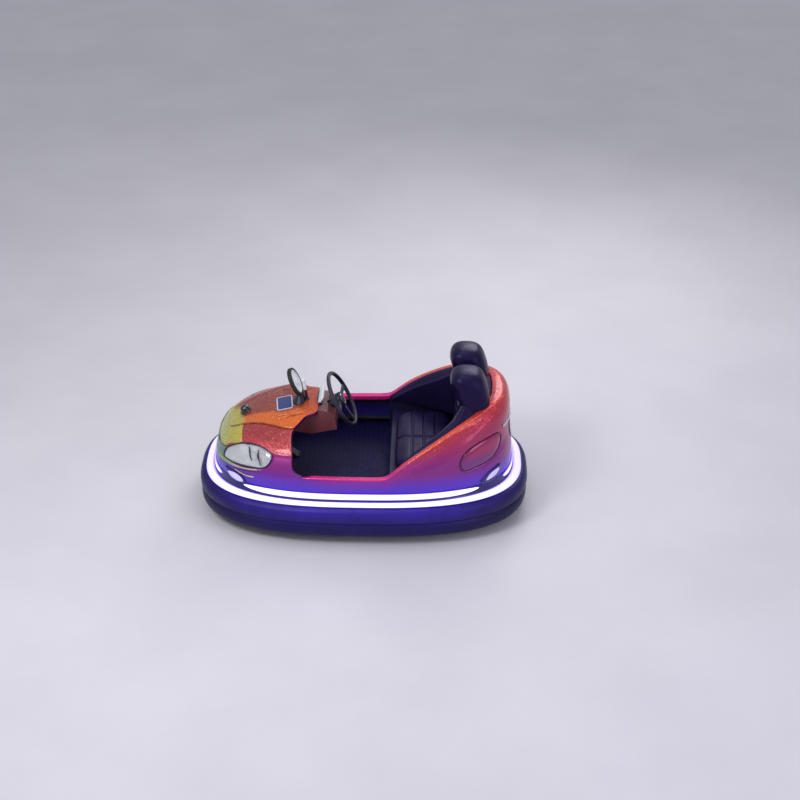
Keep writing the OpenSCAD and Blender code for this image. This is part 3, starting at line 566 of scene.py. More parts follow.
def rim_zones(t):
    z, x = t.axis(2), t.axis(0)
    wob = t.scaled(t.noise(10, 3), 0.08, -0.04)
    c = t.mix(t.ramp(t.add(z, wob), 0.42, 0.6), srgb(224, 40, 140), FLAME)
    c = t.mix(t.ramp(t.add(x, wob), -0.58, -0.72), c, srgb(206, 46, 60))
    return c, srgb(255, 170, 130), t.ramp(z, 0.42, 0.6, 0.35, 1.0)


M = {"front": paint("paint_front", front_zones), "side": paint("paint_side", side_zones),
    "rim": paint("paint_rim", rim_zones)}


def rubber(name, colour, top):
    """Scuffed black bumper rubber, painted indigo for the violet light on it, paler and bluer above as painted
    light, and darker towards the ends as painted shade.
    """
    t = Nodes(name)
    z = t.axis(2)
    # Paler and bluer upward as painted light, darker towards both ends as painted shade
    c = t.mix(t.ramp(z, 0.1, 0.245), colour, top)
    end_shade = t.ramp(t.size(t.axis(0)), 0.45, 0.93, 0, 0.8)
    c = t.mix(end_shade, c, srgb(20, 12, 58))
    cloud = t.noise(7, 6, 0.6)
    c = t.mix(t.ramp(cloud, 0.35, 0.7, 0, 0.35), c, tuple(v * 0.55 for v in colour))
    scuff = t.mul(t.ramp(t.noise(16, 8, 0.75, (1, 1, 9)), 0.6, 0.7), t.ramp(t.noise(3, 3), 0.45, 0.65))
    c = t.mix(t.mul(scuff, 0.35), c, srgb(120, 112, 176))
    fine = t.noise(420, 4)
    r = t.ramp(cloud, 0.3, 0.7, 0.34, 0.5)
    return t.shade(Base_Color=c, Roughness=t.add(r, t.mul(scuff, 0.2)), Specular_IOR_Level=0.28,
        Normal=t.bump(fine, 0.35, 0.0003))


# Black rubber given the indigo of violet light, with a paler painted-light colour on top
M["rubber"] = rubber("bumper_rubber", srgb(20, 9, 84), srgb(52, 32, 156))


def glow(name, colour, strength):
    """A lit diffuser: milky plastic with light behind it, fading to violet at its edges."""
    t = Nodes(name)
    vary = t.ramp(t.noise(22, 2), 0.2, 0.8, 0.93, 1.0)
    e = t.mix(vary, tuple(v * 0.8 for v in colour), colour)
    e = t.mix(t.ramp(t.size(t.axis(0)), 0.66, 0.93, 0, 0.75), e, (0.24, 0.19, 0.8))
    e = t.mix(t.ramp(t.attr("rimward"), 0.55, 1.0), e, (0.16, 0.11, 0.62))
    return t.shade(Base_Color=(0.38, 0.34, 0.62), Roughness=0.35, Emission_Color=e,
        Emission_Strength=strength, Coat_Weight=0.5, Coat_Roughness=0.1)


M["glow"] = glow("light_white", (0.8, 0.76, 1.0), 1.9)
M["glow_dim"] = glow("light_lilac", (0.52, 0.48, 0.9), 0.75)
# Columns: key, name, colour, roughness, metal, grain, its depth, variation, wear, coat
# The deck's indigo is painted violet light on a black moulding
for key, *row in (("deck", "deck_black", srgb(36, 26, 112), 0.32, 0, 500, 0.0001, 0.2, 0, 0.6),
        ("black", "black_plastic", (0.014, 0.011, 0.03), 0.42, 0, 600, 0.0002, 0.2),
        ("gloss", "gloss_black", (0.006, 0.006, 0.01), 0.16, 0, 900, 0.00003, 0.1, 0, 1.0),
        # The liner is black; its indigo tint is painted violet light
        ("liner", "liner_indigo", (0.007, 0.004, 0.046), 0.55, 0, 700, 0.0003, 0.25, 0, 0.12),
        # A dark edging for the flanges; its dark magenta is partly painted shade on the inward-facing edge
        ("trim", "edge_trim", srgb(74, 14, 70), 0.45, 0, 500, 0.0002, 0.2),
        ("maroon", "dash_maroon", srgb(112, 56, 60), 0.42, 0, 420, 0.0004, 0.15, 0, 0.2),
        ("white", "white_plastic", (0.8, 0.81, 0.86), 0.34, 0, 700, 0.0001, 0.04),
        ("silver", "trim_silver", (0.62, 0.6, 0.72), 0.16, 1, 900, 0.00002, 0.06),
        ("chrome", "lamp_chrome", (0.93, 0.94, 0.98), 0.3, 0.1, 900, 0.00002, 0.04),
        ("steel", "bright_steel", (0.5, 0.5, 0.52), 0.26, 1, 500, 0.0001, 0.12, 0.1),
        ("frame", "frame_steel", (0.03, 0.03, 0.036), 0.48, 0.25, 260, 0.0004, 0.25, 0.35),
        ("cast", "cast_housing", (0.085, 0.088, 0.098), 0.46, 0.6, 190, 0.0007, 0.18, 0.3),
        ("tyre", "tyre_black", (0.017, 0.017, 0.019), 0.68, 0, 420, 0.0005, 0.2, 0.25),
        ("headrim", "lamp_dark", (0.016, 0.014, 0.05), 0.25, 0, 700, 0.0001, 0.1, 0, 0.6),
        ("tailrim", "lamp_edge_purple", srgb(96, 14, 74), 0.3, 0, 700, 0.0001, 0.1, 0, 0.5)):
    M[key] = plain(*row)


def vinyl(name, colour):
    """Black seat vinyl with a pebbled grain and worn, shinier crowns. Its indigo tint and violet-tinted
    reflections are painted violet light.
    """
    t = Nodes(name)
    grain = t.cells(520, "Distance")
    fold = t.noise(60, 5, 0.6)
    big = t.noise(6, 4)
    c = t.mix(t.ramp(big, 0.3, 0.7), tuple(v * 0.75 for v in colour), tuple(v * 1.3 for v in colour))
    n = t.bump(grain, 0.3, 0.0006, t.bump(fold, 0.12, 0.002))
    # Violet-tinted reflections: painted violet light
    return t.shade(Base_Color=c, Roughness=t.ramp(big, 0.3, 0.7, 0.3, 0.42), Specular_IOR_Level=0.28,
        Specular_Tint=(0.55, 0.45, 1.0, 1.0), Normal=n)


# Its indigo colour is painted violet light on black vinyl
M["vinyl"] = vinyl("seat_vinyl", (0.01, 0.006, 0.036))


def lens(name, colour):
    t = Nodes(name)
    return t.shade(Base_Color=colour, Roughness=0.03, Transmission_Weight=1.0, IOR=1.45,
        Normal=t.bump(t.noise(90, 2), 0.05, 0.0005))


M["clear"] = lens("lens_clear", (0.99, 0.99, 1.0))


def red_lens(name):
    """Ribbed red plastic with a reflector's cells under it."""
    t = Nodes(name)
    cell = t.cells(150, "Distance", random=0.0)
    soft = t.noise(8, 3)
    c = t.mix(t.ramp(cell, 0.1, 0.6), srgb(138, 14, 88), srgb(172, 20, 96))
    c = t.mix(t.ramp(t.add(t.axis(2), t.mul(soft, 0.04)), 0.56, 0.5), c, srgb(116, 22, 124))
    return t.shade(Base_Color=c, Roughness=0.2, Coat_Weight=1.0, Coat_Roughness=0.04, Metallic=0.25,
        Normal=t.bump(cell, 0.25, 0.0015))


M["red"] = red_lens("lens_red")


def chequer(name):
    """Rolled tread plate, its indigo tint painted violet light."""
    t = Nodes(name)
    co = t.place()
    turned = t.node("Mapping", {"Vector": co, "Rotation": (0, 0, radians(45))})
    bars = []
    for shift in (0.0, 0.5):
        near = [t.size(t.math("SUBTRACT", t.math("FRACT",
            t.scaled(t.node("SeparateXYZ", {0: turned}, k), 1 / 0.042, shift)), 0.5)) for k in (0, 1)]
        thin, along = near if shift else near[::-1]
        bars.append(t.mul(t.ramp(thin, 0.11, 0.06), t.ramp(along, 0.34, 0.27)))
    h = t.most(bars[0], bars[1])
    big = t.noise(12, 5)
    # Indigo tints: painted violet light on the dark plate
    c = t.mix(h, (0.006, 0.004, 0.044), (0.016, 0.012, 0.078))
    c = t.mix(t.ramp(big, 0.45, 0.7, 0, 0.5), c, (0.006, 0.004, 0.026))
    return t.shade(Base_Color=c, Roughness=t.ramp(big, 0.3, 0.7, 0.42, 0.58), Specular_IOR_Level=0.14,
        Normal=t.bump(h, 0.6, 0.0015))


M["floor_plate"] = chequer("floor_plate")

# The moulded body

DOME_A, DOME_B, SKIRT_SCALE = 0.98, 0.62, 0.53


def front_a(z, inset=0.0):
    return (NOSE_A - inset) * lean((z - FOOT_Z) / (FRONT_RISE - inset), 2.4)


def front_b(z, inset=0.0):
    return (FOOT_B - inset) * lean((z - FOOT_Z) / (FRONT_RISE - inset), 2.2)


def rear_a(z, inset=0.0):
    s = (z - FOOT_Z) / (TAIL_RISE - inset)
    return (TAIL_A - inset) * lean(s, 7) - 0.018 * np.maximum(np.sin(np.pi * s), 0) ** 4


def rear_b(z, inset=0.0):
    return (FOOT_B - inset) * lean((z - FOOT_Z) / (FLANK_RISE - inset), 2.6)


def front_surface(q):
    """The front moulding over its flat domain, an opened-out dome."""
    p = np.asarray(q, float) / (DOME_A, DOME_B)
    r = np.hypot(p[:, 0], p[:, 1])
    X, Y = plan(np.arctan2(p[:, 1], p[:, 0]))
    s = np.sin(np.clip(1 - r, 0, 1) * pi / 2)
    z = FOOT_Z + FRONT_RISE * s - np.maximum(r - 1, 0) * SKIRT_SCALE
    return np.stack([front_a(z) * X, front_b(z) * Y, z], 1)


def dome(phi, z):
    z = np.asarray(z, float)
    r = np.where(z >= FOOT_Z, 1 - np.arcsin(np.clip((z - FOOT_Z) / FRONT_RISE, 0, 1)) * 2 / pi,
        1 + (FOOT_Z - z) / SKIRT_SCALE)
    return np.stack([r * np.cos(phi) * DOME_A, r * np.sin(phi) * DOME_B], -1)


def from_side(x, z, left=1):
    """Domain point of the front surface at X and Z, on the left or the right side."""
    return dome(plan_angle(np.clip(np.asarray(x, float) / front_a(np.asarray(z, float)), -1, 1), left), z)


def from_top(x, y):
    """Domain point at X and Y."""
    x, y = np.asarray(x, float), np.asarray(y, float)
    lo, hi = np.zeros(x.shape), np.full(x.shape, FRONT_RISE - 1e-6)
    for _ in range(40):
        mid = (lo + hi) / 2
        f = np.abs(x / front_a(FOOT_Z + mid)) ** PLAN_N + np.abs(y / front_b(FOOT_Z + mid)) ** PLAN_N
        lo, hi = np.where(f < 1, mid, lo), np.where(f < 1, hi, mid)
    z = FOOT_Z + lo
    return dome(np.arctan2(y / front_b(z), x / front_a(z)), z)


def mirrored(q):
    return np.asarray(q, float)[::-1] * (1, -1)


# Side views of the lamps, X and Z round their outlines
HEAD = curve([(0.801, 0.422), (0.776, 0.465), (0.697, 0.508), (0.621, 0.524), (0.561, 0.522), (0.512, 0.502),
    (0.532, 0.455), (0.574, 0.432), (0.65, 0.424), (0.727, 0.417), (0.791, 0.414)], n=97, closed=True)
TAIL = curve([(-0.573, 0.495), (-0.613, 0.55), (-0.693, 0.586), (-0.782, 0.593), (-0.797, 0.535),
    (-0.755, 0.47), (-0.669, 0.445), (-0.588, 0.435)], n=97, closed=True)


def lamp_points(loop, grow=0.0):
    """The outline set out by a distance."""
    t = unit(np.roll(loop, -1, 0) - np.roll(loop, 1, 0))
    turn = np.sum(loop[:, 0] * np.roll(loop[:, 1], -1) - loop[:, 1] * np.roll(loop[:, 0], -1))
    return loop + np.stack([t[:, 1], -t[:, 0]], 1) * grow * np.sign(turn)


def head_loop(grow, side=1):
    p = lamp_points(HEAD, grow)
    q = from_side(p[:, 0], p[:, 1], side)
    return q if side > 0 else q[::-1]


# The outline of the front moulding on the left, from the hood's rear middle to the nose
def front_outline():
    top = from_top(*np.array([(0.262, 0.0), (0.262, 0.06), (0.262, 0.116)]).T)
    corner = from_top(*curve([(0.262, 0.116), (0.268, 0.136), (0.288, 0.152), (0.327, 0.17), (0.354, 0.205),
        (0.388, 0.256), (0.402, 0.286)], n=40).T)
    xz = curve([(0.404, 0.584), (0.402, 0.56), (DOOR_X, 0.52), (DOOR_X, 0.49)], n=16)
    arc = [(FRONT_X + DOOR_R * cos(a), SILL_Z + DOOR_R - DOOR_R * sin(a))
        for a in np.radians(np.arange(0, 91, 7.5))]
    side = from_side(*np.vstack([xz, arc]).T)
    z = np.array([0.39, 0.36, 0.335, HEM_Z])
    down = dome(plan_angle(FRONT_X / front_a(z)), z)
    foot_phi = np.linspace(float(plan_angle(FRONT_X / NOSE_A)), 0, 120)
    foot = dome(foot_phi, np.full(120, HEM_Z))
    return np.vstack([top, corner[1:], side, down, foot[1:]])


half = front_outline()
front_loop = np.vstack([half, mirrored(half)[1:-1]])[::-1]

# Lines on the front moulding, as X, Y or X, Z places on its left side
mouth_xy = curve([(0.804, 0.01), (0.797, 0.049), (0.773, 0.096), (0.738, 0.122), (0.684, 0.143),
    (0.603, 0.174), (0.52, 0.217), (0.439, 0.256), (0.369, 0.266)], n=80)
mouth = from_top(*mouth_xy.T)
step_xz = curve([(0.56, 0.5275), (0.53, 0.522), (0.497, 0.513), (0.455, 0.514), (0.38, 0.516)], n=24)
step_line = from_side(*step_xz.T)
nose_loop = np.vstack([from_top(*curve([(0.783, -0.125), (0.726, -0.068), (0.703, 0.0), (0.703, 0.048),
    (0.687, 0.099), (0.692, 0.132)], n=40).T), from_side(*curve([(0.696, 0.55), (0.692, 0.531),
    (0.694, 0.517), (0.706, 0.507), (0.735, 0.496), (0.775, 0.477), (0.808, 0.444), (0.855, 0.432)],
    n=40).T)])
nose_loop = np.vstack([nose_loop, from_side([0.855], [0.432], -1), mirrored(nose_loop[44:])])
ribs = [from_top(*curve([(0.501, 0.151), (0.478, 0.149), (0.422, 0.146), (0.365, 0.139), (0.304, 0.12)],
    n=30).T), from_top(*curve([(0.506, 0.178), (0.481, 0.176), (0.415, 0.166), (0.354, 0.152)], n=24).T)]
# The orange stripe's upper edge, the line of painted shade under the nose's overhang, and the two streaks below
# the headlight
stripe = from_top(*curve([(0.73, 0.085), (0.69, 0.066), (0.61, 0.076), (0.505, 0.1), (0.411, 0.098),
    (0.339, 0.08), (0.3, 0.07), (0.262, 0.065)], n=60).T)
brow = np.vstack([dome(np.array([0.0, 0.1]), np.array([0.436, 0.438])),
    from_side(*curve([(0.836, 0.443), (0.804, 0.455), (0.774, 0.47), (0.728, 0.492), (0.697, 0.512),
    (0.655, 0.523), (0.621, 0.529), (0.59, 0.53)], n=40).T)])
streaks = [np.vstack([dome(np.linspace(0, 0.36, 9), np.linspace(0.378, 0.386, 9)),
    from_side(*curve([(0.838, 0.389), (0.8, 0.397), (0.754, 0.399), (0.696, 0.402), (0.625, 0.411),
    (0.555, 0.425)], n=40).T)]), from_side(*curve([(0.742, 0.38), (0.704, 0.371), (0.661, 0.365),
    (0.606, 0.37)], n=30).T)]
EDGE_FLANGE = 0.026


def beside(line, *offsets):
    """Lines at some distances from a line, on both sides of the car."""
    t = unit(np.gradient(line, axis=0))
    out = [line + np.stack([-t[:, 1], t[:, 0]], 1) * d for d in offsets]
    return out + [l * (1, -1) for l in out]


def folded(q):
    """Points with those of the right half moved to the left."""
    q = np.asarray(q, float)
    return np.where(q[:, 1:] >= 0, q, q * (1, -1))


def both(q, line):
    """Distance from a left-hand line or its mirror image, and the side."""
    return seg_distance(folded(q), line)


def ends_fade(q, line, lo=0.1, hi=0.1):
    """1 along a line, fading out at its ends."""
    s = lengths(line)
    i = np.argmin(((folded(q)[:, None] - line[None, ::4]) ** 2).sum(-1), 1)
    t = s[::4][i] / s[-1]
    return (step(t, 0, lo) if lo else 1) * step(1 - t, 0, hi)


def front_push(q):
    d, side = both(q, mouth)
    fade = ends_fade(q, mouth, 0.3, 0.02)
    # The mouth line: a groove with the hood standing a little proud of the fender
    out = -0.005 * bell(d, 0.0035) * fade
    out += np.where(side > 0, 0.007, 0.0) * step(-d, -0.03, 0.0) * fade
    for r in ribs:
        dr, _ = both(q, r)
        out += (0.004 * bell(dr - 0.006, 0.005) - 0.004 * bell(dr, 0.003)) * ends_fade(q, r)
    # The stepped line from the headlight to the door, and the nose standing over the lower front
    ds, ss = both(q, step_line)
    out += np.where(ss < 0, 0.005, 0.0) * step(-ds, -0.026, 0.0)
    db, sb = both(q, brow)
    out += np.where(sb < 0, 0.005, -0.004) * step(-db, -0.022, 0.0) * ends_fade(q, brow, 0.0, 0.08)
    out += 0.003 * step(-signed(q, nose_loop), -0.001, 0.012) * step(-d * side, 0.0, 0.01)
    for s, lo in zip(streaks, (0.0, 0.1)):
        dr, _ = both(q, s)
        out += (0.002 * bell(dr, 0.004) - 0.002 * bell(dr - 0.009, 0.004)) * ends_fade(q, s, lo)
    # Sunk seat round each headlight
    return out - 0.006 * step(-signed(folded(q), head_loop(0.0)), -0.012, -0.001)


def front_marks(q, P):
    d, side = both(q, mouth)
    ds, ss = both(q, np.vstack([brow, step_line]))
    dt, st = both(q, stripe)
    dr, sr = both(q, streaks[0])
    return {"mouth": d * side, "nose": signed(q, nose_loop), "step": ds * ss,
        # Painted shadow in the mouth line's groove
        "groove": bell(d, 0.0028) * ends_fade(q, mouth, 0.3, 0.03),
        "stripe": dt * st + 0.1 * step(-q[:, 1], 0.0, 0.05),
        # Painted shade in the ribs' grooves
        "ribs": sum(bell(both(q, r)[0], 0.0026) * ends_fade(q, r) for r in ribs),
        # Painted shade under the nose's overhang
        "under": bell(both(q, brow)[0], 0.0042) * ends_fade(q, brow, 0.0, 0.1),
        # Painted highlight along the stepped line
        "line": bell(both(q, step_line)[0], 0.004) * ends_fade(q, step_line, 0.15, 0.02), "streak": dr * sr,
        "fade1": ends_fade(q, streaks[0], 0.0, 0.16), "streak2": both(q, streaks[1])[0],
        "fade2": ends_fade(q, streaks[1], 0.15, 0.3)}


def front_flange(q):
    """The edge is deep along the doors and the hood's rear, thin elsewhere."""
    P = front_surface(q)
    deep = (P[:, 0] < DOOR_X + 0.014) & (P[:, 2] > SILL_Z - 0.002)
    return np.where(deep, EDGE_FLANGE, SKIN)


# The deep flanges take the edge trim, a dark edging whose dark magenta is partly painted shade
front = panel("front_moulding", front_surface, front_loop, M["front"],
    holes=[head_loop(LAMP_GAP), head_loop(LAMP_GAP, -1)[::-1]],
    lines=beside(mouth, -0.008, -0.003, 0, 0.003, 0.008) + beside(ribs[0], -0.004, 0, 0.004)
    + beside(ribs[1], -0.004, 0, 0.004) + beside(step_line, -0.005, 0, 0.005) + beside(brow, -0.006, 0, 0.006)
    + beside(streaks[0], -0.005, 0, 0.005) + beside(streaks[1], -0.004, 0, 0.004), h=0.0085,
    flange=front_flange, push=front_push, marks=front_marks, roll=0.0025,
    inside_material=M["liner"], edge_material=M["trim"])
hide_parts("body_front", "hood")

# The sides and the tail, unrolled: the domain is the way round the foot and the height
phi_table = np.linspace(float(plan_angle(FRONT_X / NOSE_A)), 2 * pi - float(plan_angle(FRONT_X / NOSE_A)),
    1200)
_x, _y = plan(phi_table)
arc_table = np.r_[0, np.cumsum(np.hypot(np.diff(_x * TAIL_A), np.diff(_y * FOOT_B)))]
ARC = arc_table[-1]


def side_surface(q):
    q = np.asarray(q, float)
    X, Y = plan(np.interp(q[:, 0], arc_table, phi_table))
    z = q[:, 1]
    w = np.clip((FRONT_X - NOSE_A * X) / (FRONT_X - DOOR_REAR), 0, 1)
    a = front_a(z) * (1 - w) + rear_a(z) * w
    b = front_b(z) * (1 - w) + rear_b(z) * w
    return np.stack([a * X, b * Y, z], 1)


RIM = curve([(0.4, 0.412), (0.0, 0.412), (-0.1, 0.413), (-0.15, 0.424), (-0.2, 0.464), (-0.279, 0.528),
    (-0.413, 0.616), (-0.547, 0.692), (-0.655, 0.736), (-0.735, 0.764), (-0.79, 0.776), (-0.9, 0.78)], n=200)


def rim_height(u):
    """Height of the rim's top at each way round."""
    u = np.asarray(u, float)
    z = np.full(u.shape, 0.6)
    for _ in range(60):
        x = side_surface(np.stack([u, z], 1))[:, 0]
        z = 0.5 * z + 0.5 * np.interp(-x, -RIM[:, 0], RIM[:, 1])
    return z


u_line = np.linspace(0, ARC, 500)
z_top = rim_height(u_line)
z_top = (z_top + z_top[::-1]) / 2
x_top = side_surface(np.stack([u_line, z_top], 1))[:, 0]
# Radius of the rim's outer roll and the width of its lip
rim_r = np.interp(-x_top, [-0.4, 0.1, 0.3, 0.55, 0.72, 0.8], [0.009, 0.009, 0.012, 0.018, 0.036, 0.05])
rim_w = np.interp(-x_top, [-0.4, 0.1, 0.3, 0.6, 0.74, 0.8], [0.022, 0.022, 0.018, 0.018, 0.03, 0.036])
z_wall = z_top - rim_r * np.interp(-x_top, [0.5, 0.74, 0.8], [0.95, 0.75, 0.55])


def tail_loop(grow, side=1):
    """Outline of a taillight in the unrolled domain."""
    p = lamp_points(TAIL, grow)
    z = p[:, 1]
    X = np.clip(p[:, 0] / rear_a(z), -1, 1)
    u = np.interp(plan_angle(X), phi_table, arc_table)
    q = np.stack([u, z], 1)
    return q if side > 0 else np.stack([ARC - u, z], 1)[::-1]


# Slanting hollows and creases of the flank. Columns: line in X and Z, depth, width
FLANK_LINES = [([(-0.2, 0.44), (-0.36, 0.52), (-0.5, 0.6), (-0.62, 0.655)], -0.0045, 0.028),
    ([(-0.3, 0.44), (-0.44, 0.48), (-0.54, 0.545), (-0.66, 0.64), (-0.74, 0.69)], 0.004, 0.016),
    ([(-0.5, 0.4), (-0.62, 0.43), (-0.74, 0.47), (-0.82, 0.52)], -0.004, 0.024),]


def side_push(q):
    m = np.stack([np.minimum(q[:, 0], ARC - q[:, 0]), q[:, 1]], 1)
    P = side_surface(m)
    out = -0.006 * step(-signed(m, tail_loop(0.0)), -0.014, -0.002)
    for line, depth, wide in FLANK_LINES:
        out += depth * bell(seg_distance(P[:, [0, 2]], line)[0], wide)
    return out


def side_marks(q, P):
    return {"rim": np.interp(q[:, 0], u_line, z_wall) - q[:, 1]}


uu = np.linspace(0, ARC, 260)
side_loop = np.vstack([np.stack([np.linspace(0, ARC, 200), np.full(200, HEM_Z)], 1),
    np.stack([uu, np.interp(uu, u_line, z_wall)], 1)[::-1]])
side_loop[:, 0] = np.clip(side_loop[:, 0], SEAM, ARC - SEAM)
side = panel("side_shell", side_surface, side_loop, M["side"],
    holes=[tail_loop(LAMP_GAP), tail_loop(LAMP_GAP, -1)], h=0.0095, push=side_push, marks=side_marks,
    roll=0.0006, inside_material=M["liner"])
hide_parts("body_rear", "sills", "tail_cover")

# The rolled rim, from one sill's front end round the tail to the other
k = 420
u = np.linspace(SEAM, ARC - SEAM, k)
foot_of_roll = np.stack([u, np.interp(u, u_line, z_wall)], 1)
P0 = side_surface(foot_of_roll)
up = unit(side_surface(foot_of_roll + (0, 1e-4)) - P0)
out_n = normal_at(side_surface, foot_of_roll)
# The lip dies away at its front ends
ends = smooth(np.minimum(u, ARC - u) / 0.07)
r = np.interp(u, u_line, rim_r) * (0.3 + 0.7 * ends)
w = np.interp(u, u_line, rim_w) * (0.5 + 0.5 * ends)
level = unit(-out_n * (1, 1, 0))
UPRIGHT, LIP_R = np.array([0, 0, 1]), 0.006
rows = []
for t in np.linspace(0, 1, 9):
    a = t * np.arctan2(up[:, 2], out_n[:, 2])
    rows.append(P0 + up * (r * np.sin(a))[:, None] - out_n * (r * (1 - np.cos(a)))[:, None])
edge = crest = rows[-1]
for t in np.linspace(0, 1, 5)[1:]:
    rows.append(edge + level * (w * t)[:, None] - UPRIGHT * (0.1 * w * t ** 2)[:, None])
edge = rows[-1]
for t in np.linspace(0, 1, 5)[1:]:
    a = t * pi / 2
    rows.append(edge + level * LIP_R * sin(a) - UPRIGHT * LIP_R * (1 - cos(a)))
inner_edge = rows[-1]
rows += [inner_edge - (0, 0, 0.02), inner_edge - (0, 0, 0.02) - level * 0.004,
    inner_edge - (0, 0, 0.004) - level * 0.005, crest - (0, 0, 0.006), P0 - out_n * SKIN]
loft("cockpit_rim", np.stack(rows, 1), M["rim"], flat=True)

# The bumper, the deck and its lights

def ring(name, profile, material, steps, slot, sharp=35, span=None):
    """A band through rows of half-length, half-width and height, or part of one between two angles."""
    phi = circle(steps) if span is None else np.linspace(*span, steps)
    X, Y = plan(phi)
    prof = np.asarray(profile, float)
    prof = np.broadcast_to(prof, (steps,) + prof.shape[-2:])
    P = np.stack([X[:, None] * prof[..., 0], Y[:, None] * prof[..., 1], prof[..., 2]], -1)
    return loft(name, P, material, sharp, ring=span is None)


# Columns: inset from the outline, height
inset, z = np.vstack([[(0.06, 0.245), (0.06, 0.062)],
    curve([(0.034, 0.06), (0.018, 0.066), (0.0075, 0.084), (0.004, 0.108), (0.0075, 0.13), (0.0145, 0.143)],
    n=22), [(0.0165, 0.1455), (0.0165, 0.1485)], curve([(0.0125, 0.151), (0.0045, 0.164), (0.0003, 0.188),
    (0.0025, 0.213), (0.012, 0.2325), (0.026, 0.2425), (0.034, 0.2446)], n=26),
    [(0.0365, 0.2434), (0.039, 0.2434), (0.041, 0.2448)]]).T
bumper = ring("bumper_rubber_ring", np.stack([HALF_L - inset, HALF_W - inset, z], 1), M["rubber"], 320,
    "bumper_rubber", 32)
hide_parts("bumper_ring")


EDGE = np.array([0.935, 0.54, 0.2493])
FOLD = np.array([0.881, 0.522, 0.2793])
INNER = np.array([0.877, 0.503, 0.318])


def on_deck(p, q, s, out):
    c = p + (q - p) * np.asarray(s)[..., None]
    run = hypot(q[1] - p[1], q[2] - p[2])
    d = np.array([(q[2] - p[2]) / run, (q[2] - p[2]) / run, (p[1] - q[1]) / run])
    return c + np.asarray(out)[..., None] * d


deck = ring("deck_moulding", np.vstack([[[0.935, 0.54, 0.2455], [0.9353, 0.5403, 0.248], EDGE],
    on_deck(EDGE, FOLD, [0.03, 0.97], [0, 0]), FOLD[None], on_deck(FOLD, INNER, [0.04, 0.96], [0, 0]),
    INNER[None], [[0.8752, 0.501, 0.317], [0.8752, 0.5002, 0.2455]]]), M["deck"], 288, "deck_black")
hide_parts("deck_ring")

# The glowing ring: a domed diffuser in a thin dark channel
s_across = [0.02, 0.02, 0.05, 0.12, 0.25, 0.45, 0.65, 0.78, 0.85, 0.88, 0.88]
rise = [0.0005, 0.004, 0.0056, 0.0068, 0.0076, 0.008, 0.0076, 0.0068, 0.0056, 0.004, 0.0005]
ring_light = ring("light_ring_diffuser", on_deck(EDGE, FOLD, s_across, rise), M["glow"], 320, "light_white")
attribute(ring_light, "rimward", np.tile([1, 1, 0.96, 0.8, 0.3, 0, 0.3, 0.8, 0.96, 1, 1], 320))
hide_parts("light_ring")

BAND_LO, BAND_HI, BAND_TAPER, BAND_RISE = 0.22, 0.99, 0.16, 0.0065


def band(name, start, end, steps):
    """An upper glowing band between two turns of the ring, its ends drawn to a point."""
    t = np.linspace(0, 1, steps)
    w = np.minimum(1, np.minimum(t, 1 - t) / BAND_TAPER)
    w = np.sqrt(np.clip(w * (2 - w), 0.0016, 1))
    mid = BAND_LO + (BAND_HI - BAND_LO) * 0.62
    s0, s1 = mid - (mid - BAND_LO) * w, mid + (BAND_HI - mid) * w
    u = np.array([0, 0, 0.06, 0.2, 0.5, 0.8, 0.94, 1, 1])
    r = np.array([0.0005, 0.6, 0.82, 0.95, 1.0, 0.95, 0.82, 0.6, 0.0005])
    out = np.where(r > 0.01, r * BAND_RISE, 0.0005) * np.ones((steps, 1))
    prof = on_deck(FOLD, INNER, s0[:, None] + (s1 - s0)[:, None] * u, out)
    ob = ring(name, prof, M["glow"], steps, "light_white", span=(start, end))
    attribute(ob, "rimward", np.tile([1, 1, 0.9, 0.45, 0, 0.45, 0.9, 1, 1], steps))
    return ob


def turn(i):
    """The plan's polar angle at a step of the source's ring."""
    t = 2 * pi * i / 64
    c, s = cos(t), sin(t)
    return atan2(copysign(abs(s) ** (2 / PLAN_N), s), copysign(abs(c) ** (2 / PLAN_N), c)) % (2 * pi)


for tag, first, last, steps in (("left", 8.1, 23.9, 140), ("right", 40.1, 55.9, 140),
        ("front", -4.5, 4.5, 90), ("rear", 27.6, 36.4, 90)):
    ob = band(f"light_band_{tag}", turn(first) - (2 * pi if first < 0 else 0), turn(last), steps)
    if tag == "left":
        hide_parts("light_bands")


def wall(q, left=1):
    """An upright surface just outside the body's foot. The domain is X and Z."""
    q = np.asarray(q, float)
    x = np.clip(q[:, 0] / WALL_A, -1, 1)
    return np.stack([q[:, 0], left * WALL_B * lean(np.abs(x), PLAN_N), q[:, 1]], 1)


